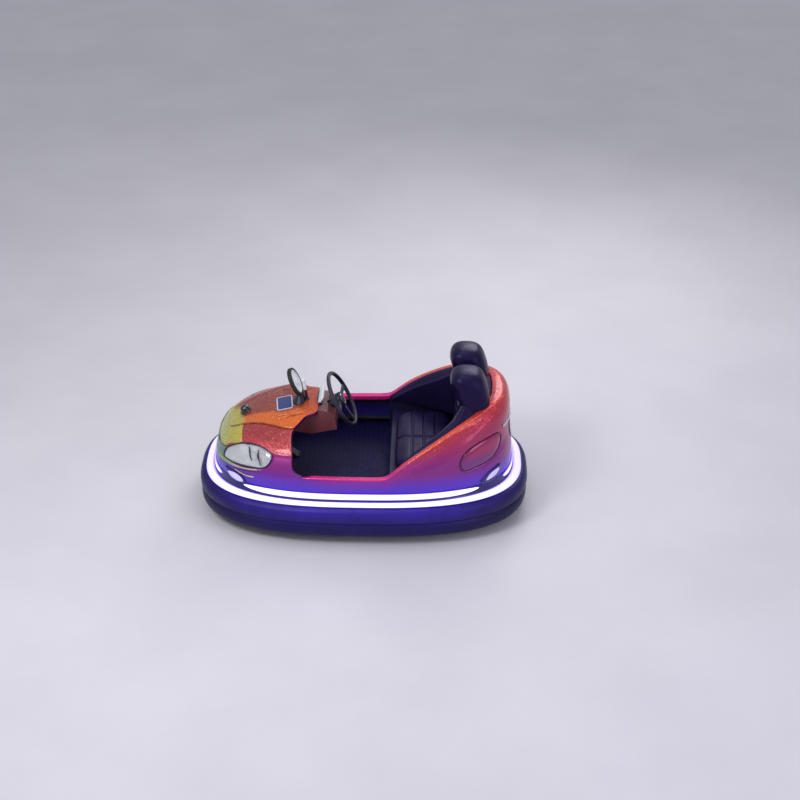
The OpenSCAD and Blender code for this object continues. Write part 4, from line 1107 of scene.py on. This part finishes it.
# The leaf-shaped lamp in its dark wedge at each corner
LEAVES = {"front": [(0.776, 0.35), (0.755, 0.36), (0.728, 0.362), (0.696, 0.349), (0.682, 0.324),
    (0.717, 0.317), (0.757, 0.328)], "rear": [(-0.72, 0.337), (-0.736, 0.366), (-0.762, 0.382),
    (-0.794, 0.387), (-0.784, 0.356), (-0.755, 0.341)]}
WEDGES = {"front": [(0.797, 0.368), (0.77, 0.368), (0.725, 0.37), (0.688, 0.353), (0.668, 0.318),
    (0.7, 0.306), (0.76, 0.312)], "rear": [(-0.69, 0.334), (-0.73, 0.377), (-0.775, 0.396), (-0.806, 0.4),
    (-0.8, 0.35), (-0.77, 0.322), (-0.722, 0.316)]}
for sgn, tag in ((1, "left"), (-1, "right")):
    for end in ("front", "rear"):
        for kind, outline, mat, proud, slot in (("wedge", WEDGES, "deck", -0.001, "deck_black"),
                ("lamp", LEAVES, "glow_dim", 0.002, "light_white")):
            loop = curve(outline[end], n=49, closed=True) * (-sgn, 1)
            ob = panel(f"corner_{kind}_{end}_{tag}", lambda q, s=sgn: wall(q * (-s, 1), s), loop, M[mat],
                h=0.005, skin=0.012, roll=0.001, push=lambda q, L=loop,
                p=proud: p + 0.003 * np.sqrt(np.clip(-signed(q, L) / 0.012, 0, 1)))
            if kind == "lamp" and end == "front" and sgn > 0:
                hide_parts("corner_lamps")

# Lamps, plates and the ornament

def lamp(name, surface, loop, material, proud, h, dome, skin):
    """A lens that follows the body's surface inside a lamp outline, domed by a little."""
    return panel(name, surface, loop, material, h=h, skin=skin, roll=0.0012, sharp=60,
        push=lambda q: proud + dome * np.sqrt(np.clip(-signed(q, loop) / 0.03, 0, 1)))


def lamp_rim(name, surface, loop, material, width, proud):
    """A moulded dark edge round a lamp's opening."""
    q = resample(np.vstack([loop, loop[:1]]), spacing=0.006, closed=True)
    P = surface(q)
    n = normal_at(surface, q)
    side = np.cross(unit(np.roll(P, -1, 0) - np.roll(P, 1, 0)), n)
    a = circle(8)[:, None]
    loft(name, P[:, None] + side[:, None] * (np.cos(a) * width) + n[:, None] * (np.sin(a) * proud), material,
        60, ring=True)


def on_front(q):
    """Places and normals on the front moulding."""
    return front_surface(q), normal_at(front_surface, q)


for sgn, tag in ((1, "left"), (-1, "right")):
    bowl = panel(f"headlight_bowl_{tag}", front_surface, head_loop(-0.0016, sgn), M["chrome"], h=0.006,
        skin=0.002, roll=0.0005, push=lambda q,
        L=head_loop(-0.0016, sgn): -0.005 - 0.016 * np.sqrt(np.clip(-signed(q, L) / 0.035, 0, 1)))
    if sgn > 0:
        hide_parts("headlights")
    lamp(f"headlight_lens_{tag}", front_surface, head_loop(-0.0012, sgn), M["clear"], 0.0005, 0.006,
        0.0045, 0.002)
    lamp_rim(f"headlight_edge_{tag}", front_surface, head_loop(0.0018, sgn), M["headrim"], 0.0034, 0.004)
    # The round lamp and the two dark dividers beside it
    (P,), (n,) = on_front(from_side([0.616], [0.486], sgn))
    rad = 0.021
    lathe(f"headlight_lamp_{tag}_0", [(rad, -0.018), (rad, -0.006), (rad * 0.93, -0.0035),
        (rad * 0.88, -0.0045), (rad * 0.7, -0.009), (0.004, -0.0125), (0.0, -0.0125)], M["chrome"], P, n, 40)
    lathe(f"headlight_bulb_{tag}_0", [(0.0, 0.0), (rad * 0.32, -0.001), (rad * 0.42, -0.004),
        (rad * 0.36, -0.009), (0.0, -0.011)], M["white"], P - n * 0.002, n, 24)
    for i, pts in enumerate((((0.648, 0.512), (0.643, 0.492), (0.639, 0.474), (0.63, 0.456)),
            ((0.591, 0.512), (0.593, 0.486), (0.584, 0.464), (0.577, 0.441)))):
        P, n = on_front(from_side(*curve(pts, n=16).T, sgn))
        bar(f"headlight_divider_{tag}_{i}", P - n * 0.006,
            np.interp(np.arange(16), [0, 5, 9, 15], [0.003, 0.0062, 0.0046, 0.0024]), M["headrim"],
            n[8])
    # The taillight
    tail = lamp(f"taillight_lens_{tag}", side_surface, tail_loop(-0.0012, sgn), M["red"], -0.001, 0.007,
        0.006, 0.004)
    if sgn > 0:
        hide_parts("taillights")
    lamp_rim(f"taillight_edge_{tag}", side_surface, tail_loop(0.0018, sgn), M["tailrim"], 0.003, 0.0032)


def rounded_box(x0, x1, y0, y1, r, n=6):
    out = []
    for cx, cy, a0 in ((x1 - r, y1 - r, 0), (x0 + r, y1 - r, 90), (x0 + r, y0 + r, 180),
            (x1 - r, y0 + r, 270)):
        for a in np.radians(a0 + np.arange(n + 1) * 90 / n):
            out.append((cx + r * cos(a), cy + r * sin(a)))
    return np.array(out)


def top_surface(q):
    """The hood over plan coordinates."""
    q = np.asarray(q, float)
    return front_surface(from_top(q[:, 0], q[:, 1]))


# The hood's blank plate: a pale border round a navy field
PLATE_AT, PLATE_TURN = (0.461, 0.021), radians(7)
PLATE = rounded_box(-0.046, 0.046, -0.075, 0.075, 0.014) @ np.array([[cos(PLATE_TURN), sin(PLATE_TURN)],
    [-sin(PLATE_TURN), cos(PLATE_TURN)]])



def plate_material(name, field, border, at=-0.006):
    t = Nodes(name)
    e = t.attr("edge")
    soft = t.noise(30, 4)
    c = t.mix(t.ramp(e, at - 0.0012, at + 0.0012), t.mix(t.ramp(soft, 0.3, 0.7), field,
        tuple(v * 1.08 for v in field)), border)
    return t.shade(Base_Color=c, Roughness=t.ramp(soft, 0.3, 0.7, 0.24, 0.36), Coat_Weight=0.6,
        Coat_Roughness=0.06, Normal=t.bump(t.noise(420, 3), 0.2, 0.0001))


M["plate"] = plate_material("plate_blue", srgb(24, 42, 110), srgb(196, 204, 226))
plate = panel("hood_plate", top_surface, PLATE + PLATE_AT, M["plate"], h=0.006, skin=0.003, roll=0.001,
    push=lambda q: np.full(len(q), 0.005), marks=lambda q, P: {"edge": signed(q - PLATE_AT, PLATE)})
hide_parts("number_plates")


def tail_face(q):
    """The tail over Y, counted to the right, and Z."""
    y, z = -q[:, 0], q[:, 1]
    return np.stack([-rear_a(z) * lean(np.abs(y) / rear_b(z), PLAN_N), y, z], 1)


TAIL_PLATE = rounded_box(-0.105, 0.105, 0.474, 0.586, 0.014)
panel("tail_plate", tail_face, TAIL_PLATE, plate_material("plate_white", srgb(208, 208, 222),
    srgb(70, 74, 120), -0.005), h=0.008, skin=0.003, roll=0.001, push=lambda q: np.full(len(q), 0.0048),
    marks=lambda q, P: {"edge": signed(q, TAIL_PLATE)})
TRIM = rounded_box(-0.228, 0.228, 0.608, 0.634, 0.012)
trim = panel("tail_trim", tail_face, TRIM, M["silver"], h=0.006, skin=0.003, roll=0.001,
    push=lambda q: 0.0045 + 0.004 * np.sqrt(np.clip(-signed(q, TRIM) / 0.013, 0, 1)))
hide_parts("rear_trim")

# The nose knob: a glossy ball in a stepped base
(P,), (n,) = on_front(from_top([0.694], [0.0]))
knob = lathe("nose_knob", [(0.036, -0.004), (0.0365, 0.004), (0.0345, 0.0075), (0.0315, 0.0085),
    (0.031, 0.011)] + [(0.029 * cos(a), 0.016 + 0.026 * sin(a)) for a in np.radians(np.arange(-8, 91, 7))],
    M["gloss"], P, n, 64)
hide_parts("nose_cap")

# The ornament: a small tyre on a black foot
LEAN = radians(25)
sp_x = 0.397
sp_foot = FOOT_Z + FRONT_RISE * float(lean(sp_x / NOSE_A, 2.4))
R = 0.085
sp_c = np.array([sp_x, 0, sp_foot + 0.046 + R * cos(LEAN)])
sp_axis = np.array([-cos(LEAN), 0, sin(LEAN)])
prof = [(R - 0.013, -0.011), (R - 0.0115, -0.0127), (R - 0.006, -0.013), (R - 0.0028, -0.0118),
    (R - 0.0014, -0.0098)]
for zc in (-0.0066, 0.0, 0.0066):
    prof += [(R - 0.0012, zc - 0.0028), (R, zc - 0.0023), (R, zc + 0.0023), (R - 0.0012, zc + 0.0028)]
prof += [(R - 0.0014, 0.0098), (R - 0.0028, 0.0118), (R - 0.006, 0.013), (R - 0.0115, 0.0127),
    (R - 0.013, 0.011), (R - 0.0133, 0.0)]
prof.append(prof[0])
sp_tyre = lathe("ornament_tyre", prof, M["tyre"], sp_c, sp_axis, 96, open_ends=True)
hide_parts("spare_tyre")
rd = R - 0.0136
disc = lathe("ornament_disc", [(0.0, -0.009), (rd, -0.009), (rd, 0.0095), (rd - 0.002, 0.0108),
    (rd - 0.0065, 0.0108), (rd - 0.0085, 0.009), (rd - 0.01, 0.006), (rd - 0.03, 0.0046), (0.021, 0.0078),
    (0.02, 0.0106), (0.0175, 0.0118), (0.0, 0.0126)], M["white"], sp_c, sp_axis, 96)
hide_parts("spare_disc")
# Its foot, flowing from the hood up to the tyre
rows = []
for t in np.linspace(0, 1, 14):
    half_len = 0.024 * (1 - t) ** 1.6 + 0.015
    half_wid = 0.045 * (1 - t) ** 1.8 + 0.022
    a = np.linspace(0, 2 * pi, 48, endpoint=False)
    c, s = np.cos(a), np.sin(a)
    rho = (np.abs(c) ** 2.3 + np.abs(s) ** 2.3) ** (-1 / 2.3)
    px, py = sp_x - 0.022 - 0.01 * t + half_len * rho * c, half_wid * rho * s
    base = front_surface(from_top(px, py))[:, 2]
    pz = base * (1 - t) + (sp_foot + 0.052) * t + 0.0006 + 0.006 * sin(pi * t) if t else base - 0.004
    rows.append(np.stack([px, py, pz], 1))
faces = grid_faces(14, 48) + [tuple(range(47, -1, -1)), tuple(range(13 * 48, 14 * 48))]
foot = fix_normals(add_object("ornament_foot", np.vstack(rows), faces, M["black"],
    flat=True))
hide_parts("spare_bracket")
# A small white-topped lever just behind it
LEVER_UP = np.array([0.154, 0.0, 0.988])
lever = np.array([0.33, 0.0, 0.0])
lever[2] = float(front_surface(from_top([lever[0]], [lever[1]]))[0, 2])
lathe("hood_lever", [(0.0135, -0.003), (0.0135, 0.004), (0.011, 0.007), (0.008, 0.01), (0.0075, 0.068)],
    M["black"], lever, LEVER_UP, 24)
lathe("hood_lever_top", [(0.008, 0.064), (0.0098, 0.067), (0.01, 0.072), (0.0095, 0.104), (0.008, 0.112)]
    + [(0.0112 * sin(a) ** 0.8, 0.123 - 0.0118 * cos(a)) for a in np.radians(np.arange(48, 180, 12))]
    + [(0.0, 0.135)], M["white"], lever, LEVER_UP, 32)

# The seats: moulded, padded vinyl

SOFT_FRAMES = 20


def points(ob):
    return np.array([v.co[:] for v in ob.data.vertices])


def move_points(ob, p):
    ob.data.vertices.foreach_set("co", p.ravel())
    ob.data.update()


def soften(ob, cap, pin=None):
    """Blows a closed pad up like a cushion and keeps its points within cap of where they were."""
    rm = ob.modifiers.new("remesh", "REMESH")
    rm.mode = "VOXEL"
    rm.voxel_size = 0.0065
    apply_modifiers(ob)
    start = points(ob)
    cl = ob.modifiers.new("cloth", "CLOTH")
    cs = cl.settings
    cs.quality = 5
    cs.mass = 0.3
    cs.use_pressure = True
    cs.uniform_pressure_force = 4
    cs.tension_stiffness = cs.compression_stiffness = 15
    cs.shear_stiffness = 8
    cs.bending_stiffness = 0.6
    cs.effector_weights.gravity = 0
    cl.point_cache.frame_start, cl.point_cache.frame_end = 1, SOFT_FRAMES
    for f in range(1, SOFT_FRAMES + 1):
        scene.frame_set(f)
    apply_modifiers(ob)
    scene.frame_set(1)
    move = points(ob) - start
    length = np.linalg.norm(move, axis=1, keepdims=True)
    limit = cap if pin is None else (cap * pin(start))[:, None]
    move_points(ob, start + move * np.minimum(1, limit / np.maximum(length, 1e-9)))
    sub = ob.modifiers.new("sub", "SUBSURF")
    sub.levels = sub.render_levels = 1
    apply_modifiers(ob)
    ob.data.shade_smooth()


def apply_modifiers(ob):
    dg = bpy.context.evaluated_depsgraph_get()
    dg.update()
    me = D.meshes.new_from_object(ob.evaluated_get(dg))
    old = ob.data
    ob.modifiers.clear()
    ob.data = me
    me.name = ob.name
    D.meshes.remove(old)


def stack(name, sections, n, around, levels):
    """A pad lofted through rounded sections. Columns: Z, centre X, centre Y, half-length, half-width."""
    s = curve(sections, n=levels)
    a = circle(around)
    c, sn = np.cos(a), np.sin(a)
    rho = (np.abs(c) ** n + np.abs(sn) ** n) ** (-1 / n)
    P = np.stack([s[:, 1, None] + s[:, 3, None] * rho * c, s[:, 2, None] + s[:, 4, None] * rho * sn,
        np.broadcast_to(s[:, 0, None], (levels, around))], -1)
    b = levels * around
    faces = grid_faces(levels, around) + [(b, (j + 1) % around, j) for j in range(around)]
    faces += [(b + 1, b - around + j, b - around + (j + 1) % around) for j in range(around)]
    V = np.vstack([P.reshape(-1, 3), P[0].mean(0)[None], P[-1].mean(0)[None]])
    return fix_normals(add_object(name, V, faces, M["vinyl"]))


cushion = stack("seat_cushion", [(0.312, -0.355, 0, 0.15, 0.315), (0.322, -0.355, 0, 0.17, 0.335),
    (0.35, -0.355, 0, 0.178, 0.342), (0.376, -0.355, 0, 0.172, 0.336), (0.39, -0.355, 0, 0.15, 0.316),
    (0.394, -0.355, 0, 0.1, 0.27)], 5, 72, 20)
soften(cushion, 0.012, lambda p: np.where(p[:, 2] < 0.318, 0.05, 1.0))


def press(ob, f):
    """Moves a finished pad's points: f gives the displacement of each."""
    p = points(ob)
    move_points(ob, p + f(p))


def cushion_channels(p):
    """Sewn channels across the cushion and its middle."""
    top = step(p[:, 2], 0.36, 0.385)
    y = np.abs(p[:, 1])
    d = -0.009 * bell(y, 0.01) * top
    for x in (-0.285, -0.355, -0.425):
        d += -0.005 * bell(p[:, 0] - x, 0.007) * top * step(y, 0.0, 0.02) * step(0.3 - y, 0.0, 0.02)
    return d[:, None] * (0, 0, 1)


press(cushion, cushion_channels)
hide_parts("seat_base")

# The two backrest lobes with their egg-shaped headrests
LOBE = [(0.312, -0.597, 0.152, 0.04, 0.134), (0.33, -0.598, 0.152, 0.052, 0.142),
    (0.42, -0.606, 0.152, 0.066, 0.144), (0.56, -0.622, 0.152, 0.074, 0.144),
    (0.66, -0.636, 0.151, 0.082, 0.138), (0.73, -0.64, 0.149, 0.088, 0.128),
    (0.79, -0.626, 0.147, 0.094, 0.122), (0.85, -0.606, 0.145, 0.098, 0.114),
    (0.888, -0.6, 0.144, 0.086, 0.098), (0.91, -0.6, 0.143, 0.06, 0.07), (0.918, -0.6, 0.143, 0.022, 0.028)]


def lobe_press(side):
    def f(p):
        y, z = side * p[:, 1], p[:, 2]
        face = step(p[:, 0], -0.6, -0.56)
        # The neck below the headrest, the lumbar fold and two upright seams
        d = -0.012 * bell(z - 0.765 + 0.12 * np.abs(y - 0.15), 0.018) * face
        d += -0.008 * bell(z - 0.56, 0.01) * face
        for seam in (0.09, 0.212):
            d += -0.005 * bell(y - seam, 0.006) * face * step(0.745 - z, 0, 0.03)
        return d[:, None] * (1, 0, 0)
    return f


for sgn, tag in ((1, "left"), (-1, "right")):
    sec = [(z + 0.026 * float(smooth((z - 0.6) / 0.22)), x, sgn * y, a, b) for z, x, y, a, b in LOBE]
    ob = stack(f"backrest_{tag}", sec, 2.9, 64, 44)
    soften(ob, 0.008)
    press(ob, lobe_press(sgn))
    if sgn > 0:
        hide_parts("seat_back")

# The padded surround: from the rim's inner edge in to the cockpit, swelling to wings beside the backrest
start = np.argmax(inner_edge[:, 0] < -0.15)
keep = np.arange(start, k - start)
inward = level[keep]
outer = inner_edge[keep] - inward * 0.001
back = -inner_edge[keep, 0]
width = np.interp(back, [0.15, 0.19, 0.26, 0.4, 0.52, 0.6, 0.68, 0.73, 0.76],
    [0.01, 0.024, 0.046, 0.07, 0.078, 0.078, 0.074, 0.072, 0.072])
crown = np.interp(back, [0.15, 0.22, 0.35, 0.55, 0.66, 0.72, 0.76],
    [0.003, 0.01, 0.02, 0.024, 0.02, 0.016, 0.014])
lift = np.interp(back, [0.15, 0.45, 0.54, 0.6, 0.66, 0.72, 0.75],
    [-0.01, -0.016, -0.002, 0.05, 0.072, 0.05, 0.02])
PAD_R = 0.012
rows = [outer - (0, 0, 0.016)]
for t in np.linspace(0, 1, 15):
    p = outer + inward * (width * t)[:, None]
    p[:, 2] += -0.004 + crown * sin(pi * t ** 0.85) ** 0.8 + lift * smooth(t)
    rows.append(p)
edge = rows[-1]
for t in np.linspace(0, 1, 6)[1:]:
    a = t * pi / 2
    rows.append(edge + inward * (PAD_R * sin(a)) - np.array([0, 0, PAD_R * (1 - cos(a))]))
edge = rows[-1]
drop = np.clip(edge[:, 2] - 0.404, 0.012, 0.5)
for t in (0.35, 0.7, 1.0):
    p = edge.copy()
    p[:, 2] -= drop * t
    rows.append(p - inward * (0.004 * t))
rows.append(rows[-1] - inward * 0.01)
p = edge - inward * 0.03
p[:, 2] -= 0.02
rows.append(np.where((width > 0.03)[:, None], p, rows[-1] + (0, 0, 0.004)))
surround = loft("seat_surround", np.stack(rows, 1), M["vinyl"], 60)
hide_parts("rail_pads")

# Cockpit and steering

CY = np.array([0, 1.0, 0])
CZ = np.array([-cos(WHEEL_SLOPE), 0, sin(WHEEL_SLOPE)])
CX = np.cross(CY, CZ)


def on_column(p):
    p = np.asarray(p, float)
    return WHEEL_C + p[..., :1] * CX + p[..., 1:2] * CY + p[..., 2:3] * CZ


# The wheel: a rim with finger grips, three dished spokes and a padded boss
a = circle(144)[:, None]
b = circle(16)
grip = 0.0118 * (1 + 0.03 * np.cos(a * 44) * (np.abs(np.sin(a)) > 0.25))
out = 0.163 + grip * np.cos(b)
wheel_rim = loft("steering_rim", on_column(np.stack([out * np.cos(a), out * np.sin(a), grip * np.sin(b)],
    -1)), M["black"], None, "steering", True)
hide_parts("steering_wheel")
for i, ang in enumerate((90, 180, 270)):
    c, s = cos(radians(ang)), sin(radians(ang))
    rows = []
    for t in np.linspace(0, 1, 12):
        rad = 0.03 + 0.128 * t
        hw = 0.019 - 0.006 * sin(pi * t) - 0.002 * t
        ht = 0.006 - 0.001 * t
        q = rounded_box(-hw, hw, -ht, ht, ht * 0.9, 4)
        rows.append(np.stack([rad * c - q[:, 0] * s, rad * s + q[:, 0] * c, -0.01 + 0.01 * t ** 2 + q[:, 1]],
            1))
    loft(f"steering_spoke_{i}", on_column(rows), M["black"], 40, "steering")
lathe("steering_boss", [(0.0, -0.024), (0.043, -0.024), (0.045, -0.018), (0.045, -0.004), (0.042, 0.003),
    (0.034, 0.0065), (0.032, 0.0055), (0.03, 0.006), (0.022, 0.009), (0.0, 0.01)], M["black"], WHEEL_C, CZ,
    64, "steering")
lathe("steering_cap_ring", [(0.0305, 0.005), (0.0325, 0.005), (0.033, 0.0068), (0.0315, 0.0078),
    (0.03, 0.0068)], M["silver"], WHEEL_C, CZ, 64, "steering")

# The display: a white housing with a blank dark screen to the driver
tilt = radians(-35)
DX = np.array([cos(tilt), 0, -sin(tilt)])
DZ = np.array([sin(tilt), 0, cos(tilt)])
d0 = np.array([0.252, 0.0, 0.6636])


def slab(name, w, h, depth0, depth1, r, material, edge=0.003):
    """A rounded slab facing the driver: width along Y, height up its slope, between two depths."""
    up0 = 0.022
    outline = rounded_box(-w / 2, w / 2, up0 - h / 2, up0 + h / 2, r, 8)
    rows = []
    ctr = np.array([0, up0])
    for shrink, depth in ((edge, depth0), (edge * 0.3, depth0 + edge * 0.3), (0, depth0 + edge),
            (0, depth1 - edge), (edge * 0.3, depth1 - edge * 0.3), (edge, depth1)):
        q = ctr + (outline - ctr) * ((w / 2 - shrink) / (w / 2), (h / 2 - shrink) / (h / 2))
        rows.append(d0 + depth * DX + q[:, :1] * CY + q[:, 1:] * DZ)
    return loft(name, rows, material, 40)


display = slab("display_housing", 0.156, 0.044, 0.0, 0.014, 0.012, M["white"])
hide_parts("display")
slab("display_screen", 0.128, 0.026, -0.0008, 0.004, 0.006, M["gloss"], 0.0006)
# Its dark foot on the dashboard
foot_xz = [(0.2385, 0.644), (0.2505, 0.644), (0.27, 0.68), (0.256, 0.6705)]
faces = [(0, 1, 2, 3), (7, 6, 5, 4)] + [(i, i + 4, (i + 1) % 4 + 4, (i + 1) % 4) for i in range(4)]
fix_normals(add_object("display_foot", [(x, y, z) for y in (-0.058, 0.058) for x, z in foot_xz], faces,
    M["black"], flat=True))

# Carried-over nodes get their materials and worn edges
FINISH = {"frame": "bumper_carrier head_plate frame_rails frame_crossmembers rear_brackets",
    "maroon": "dashboard", "black": "column_shroud battery_box", "liner": "firewall footwell_liner seat_tub",
    "floor_plate": "floor_pan", "cast": "pedal steering_gearbox steering_head drive_fork drive_motor",
    "steel": "steering_shaft drive_hub", "tyre": "drive_tyre wheel_rear_left wheel_rear_right",}
BEVEL = {"dashboard": 0.006, "pedal": 0.001, "steering_gearbox": 0.004, "head_plate": 0.001,
    "battery_box": 0.004, "drive_fork": 0.0015, "rear_brackets": 0.001, "column_shroud": 0.002,
    "drive_motor": 0.003, "frame_rails": 0.002, "frame_crossmembers": 0.002}
for key, nodes in FINISH.items():
    for node in nodes.split():
        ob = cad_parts[node]
        for sl in ob.material_slots:
            sl.material = M[key]
        if not ob.material_slots:
            ob.data.materials.append(M[key])
        if node in BEVEL:
            m = ob.modifiers.new("bevel", "BEVEL")
            m.width = BEVEL[node]
            m.segments = 2
            m.limit_method = "ANGLE"
            m.angle_limit = radians(35)
            m.harden_normals = False

# Camera, lights and floor

CAMERA_AT, CAMERA_AZ, CAMERA_EL = (-0.4076, 8.2565, 5.4709), radians(181.34), radians(30.27)
FOCAL_PIXELS, PICTURE_PIXELS, SENSOR = 1630.7, 800, 36
cam = D.objects.new("camera", D.cameras.new("camera"))
scene.collection.objects.link(cam)
cam.location = CAMERA_AT
cam.rotation_mode = "QUATERNION"
back = Vector((sin(CAMERA_AZ) * cos(CAMERA_EL), -cos(CAMERA_AZ) * cos(CAMERA_EL), sin(CAMERA_EL)))
cam.rotation_quaternion = (-back).to_track_quat("-Z", "Y")
cam.data.sensor_width = SENSOR
cam.data.sensor_fit = "HORIZONTAL"
cam.data.lens = FOCAL_PIXELS / PICTURE_PIXELS * SENSOR
cam.data.clip_end = 200
scene.camera = cam

world = D.worlds.new("studio")
scene.world = world
world.use_nodes = True
sky = world.node_tree.nodes["Background"].inputs
sky[0].default_value = (0.86, 0.88, 0.96, 1)
sky[1].default_value = 0.52

for name, at, aim, size, power, colour in (("key", (2.2, 2.6, 4.2), (0, 0, 0.4), 1.6, 84, (1, 1, 1)),
        ("fill", (-3.5, 3.5, 2.6), (0, 0, 0.4), 3.0, 40, (0.86, 0.84, 1.0)),
        ("rim_light", (-1.5, -3.6, 3.4), (-0.2, 0, 0.6), 2.4, 60, (1, 1, 1)),
        ("top", (0.2, 0.0, 5.0), (0, 0, 0.4), 3.0, 36, (1, 1, 1))):
    light = D.lights.new(name, "AREA")
    light.shape = "DISK"
    light.size = size
    light.energy = power
    light.color = colour
    ob = D.objects.new(name, light)
    scene.collection.objects.link(ob)
    ob.location = at
    ob.rotation_mode = "QUATERNION"
    ob.rotation_quaternion = (Vector(aim) - Vector(at)).to_track_quat("-Z", "Y")

floor = add_object("floor", [(-40, -40, 0), (40, -40, 0), (40, 40, 0), (-40, 40, 0)], [(0, 1, 2, 3)], None,
    None, flat=True)
t = Nodes("studio_floor")
pale = t.mix(t.ramp(t.noise(1.2, 4), 0.3, 0.7), (0.69, 0.67, 0.72), (0.73, 0.71, 0.76))
floor.data.materials.append(t.shade(Base_Color=pale, Roughness=0.55, Specular_IOR_Level=0.3))
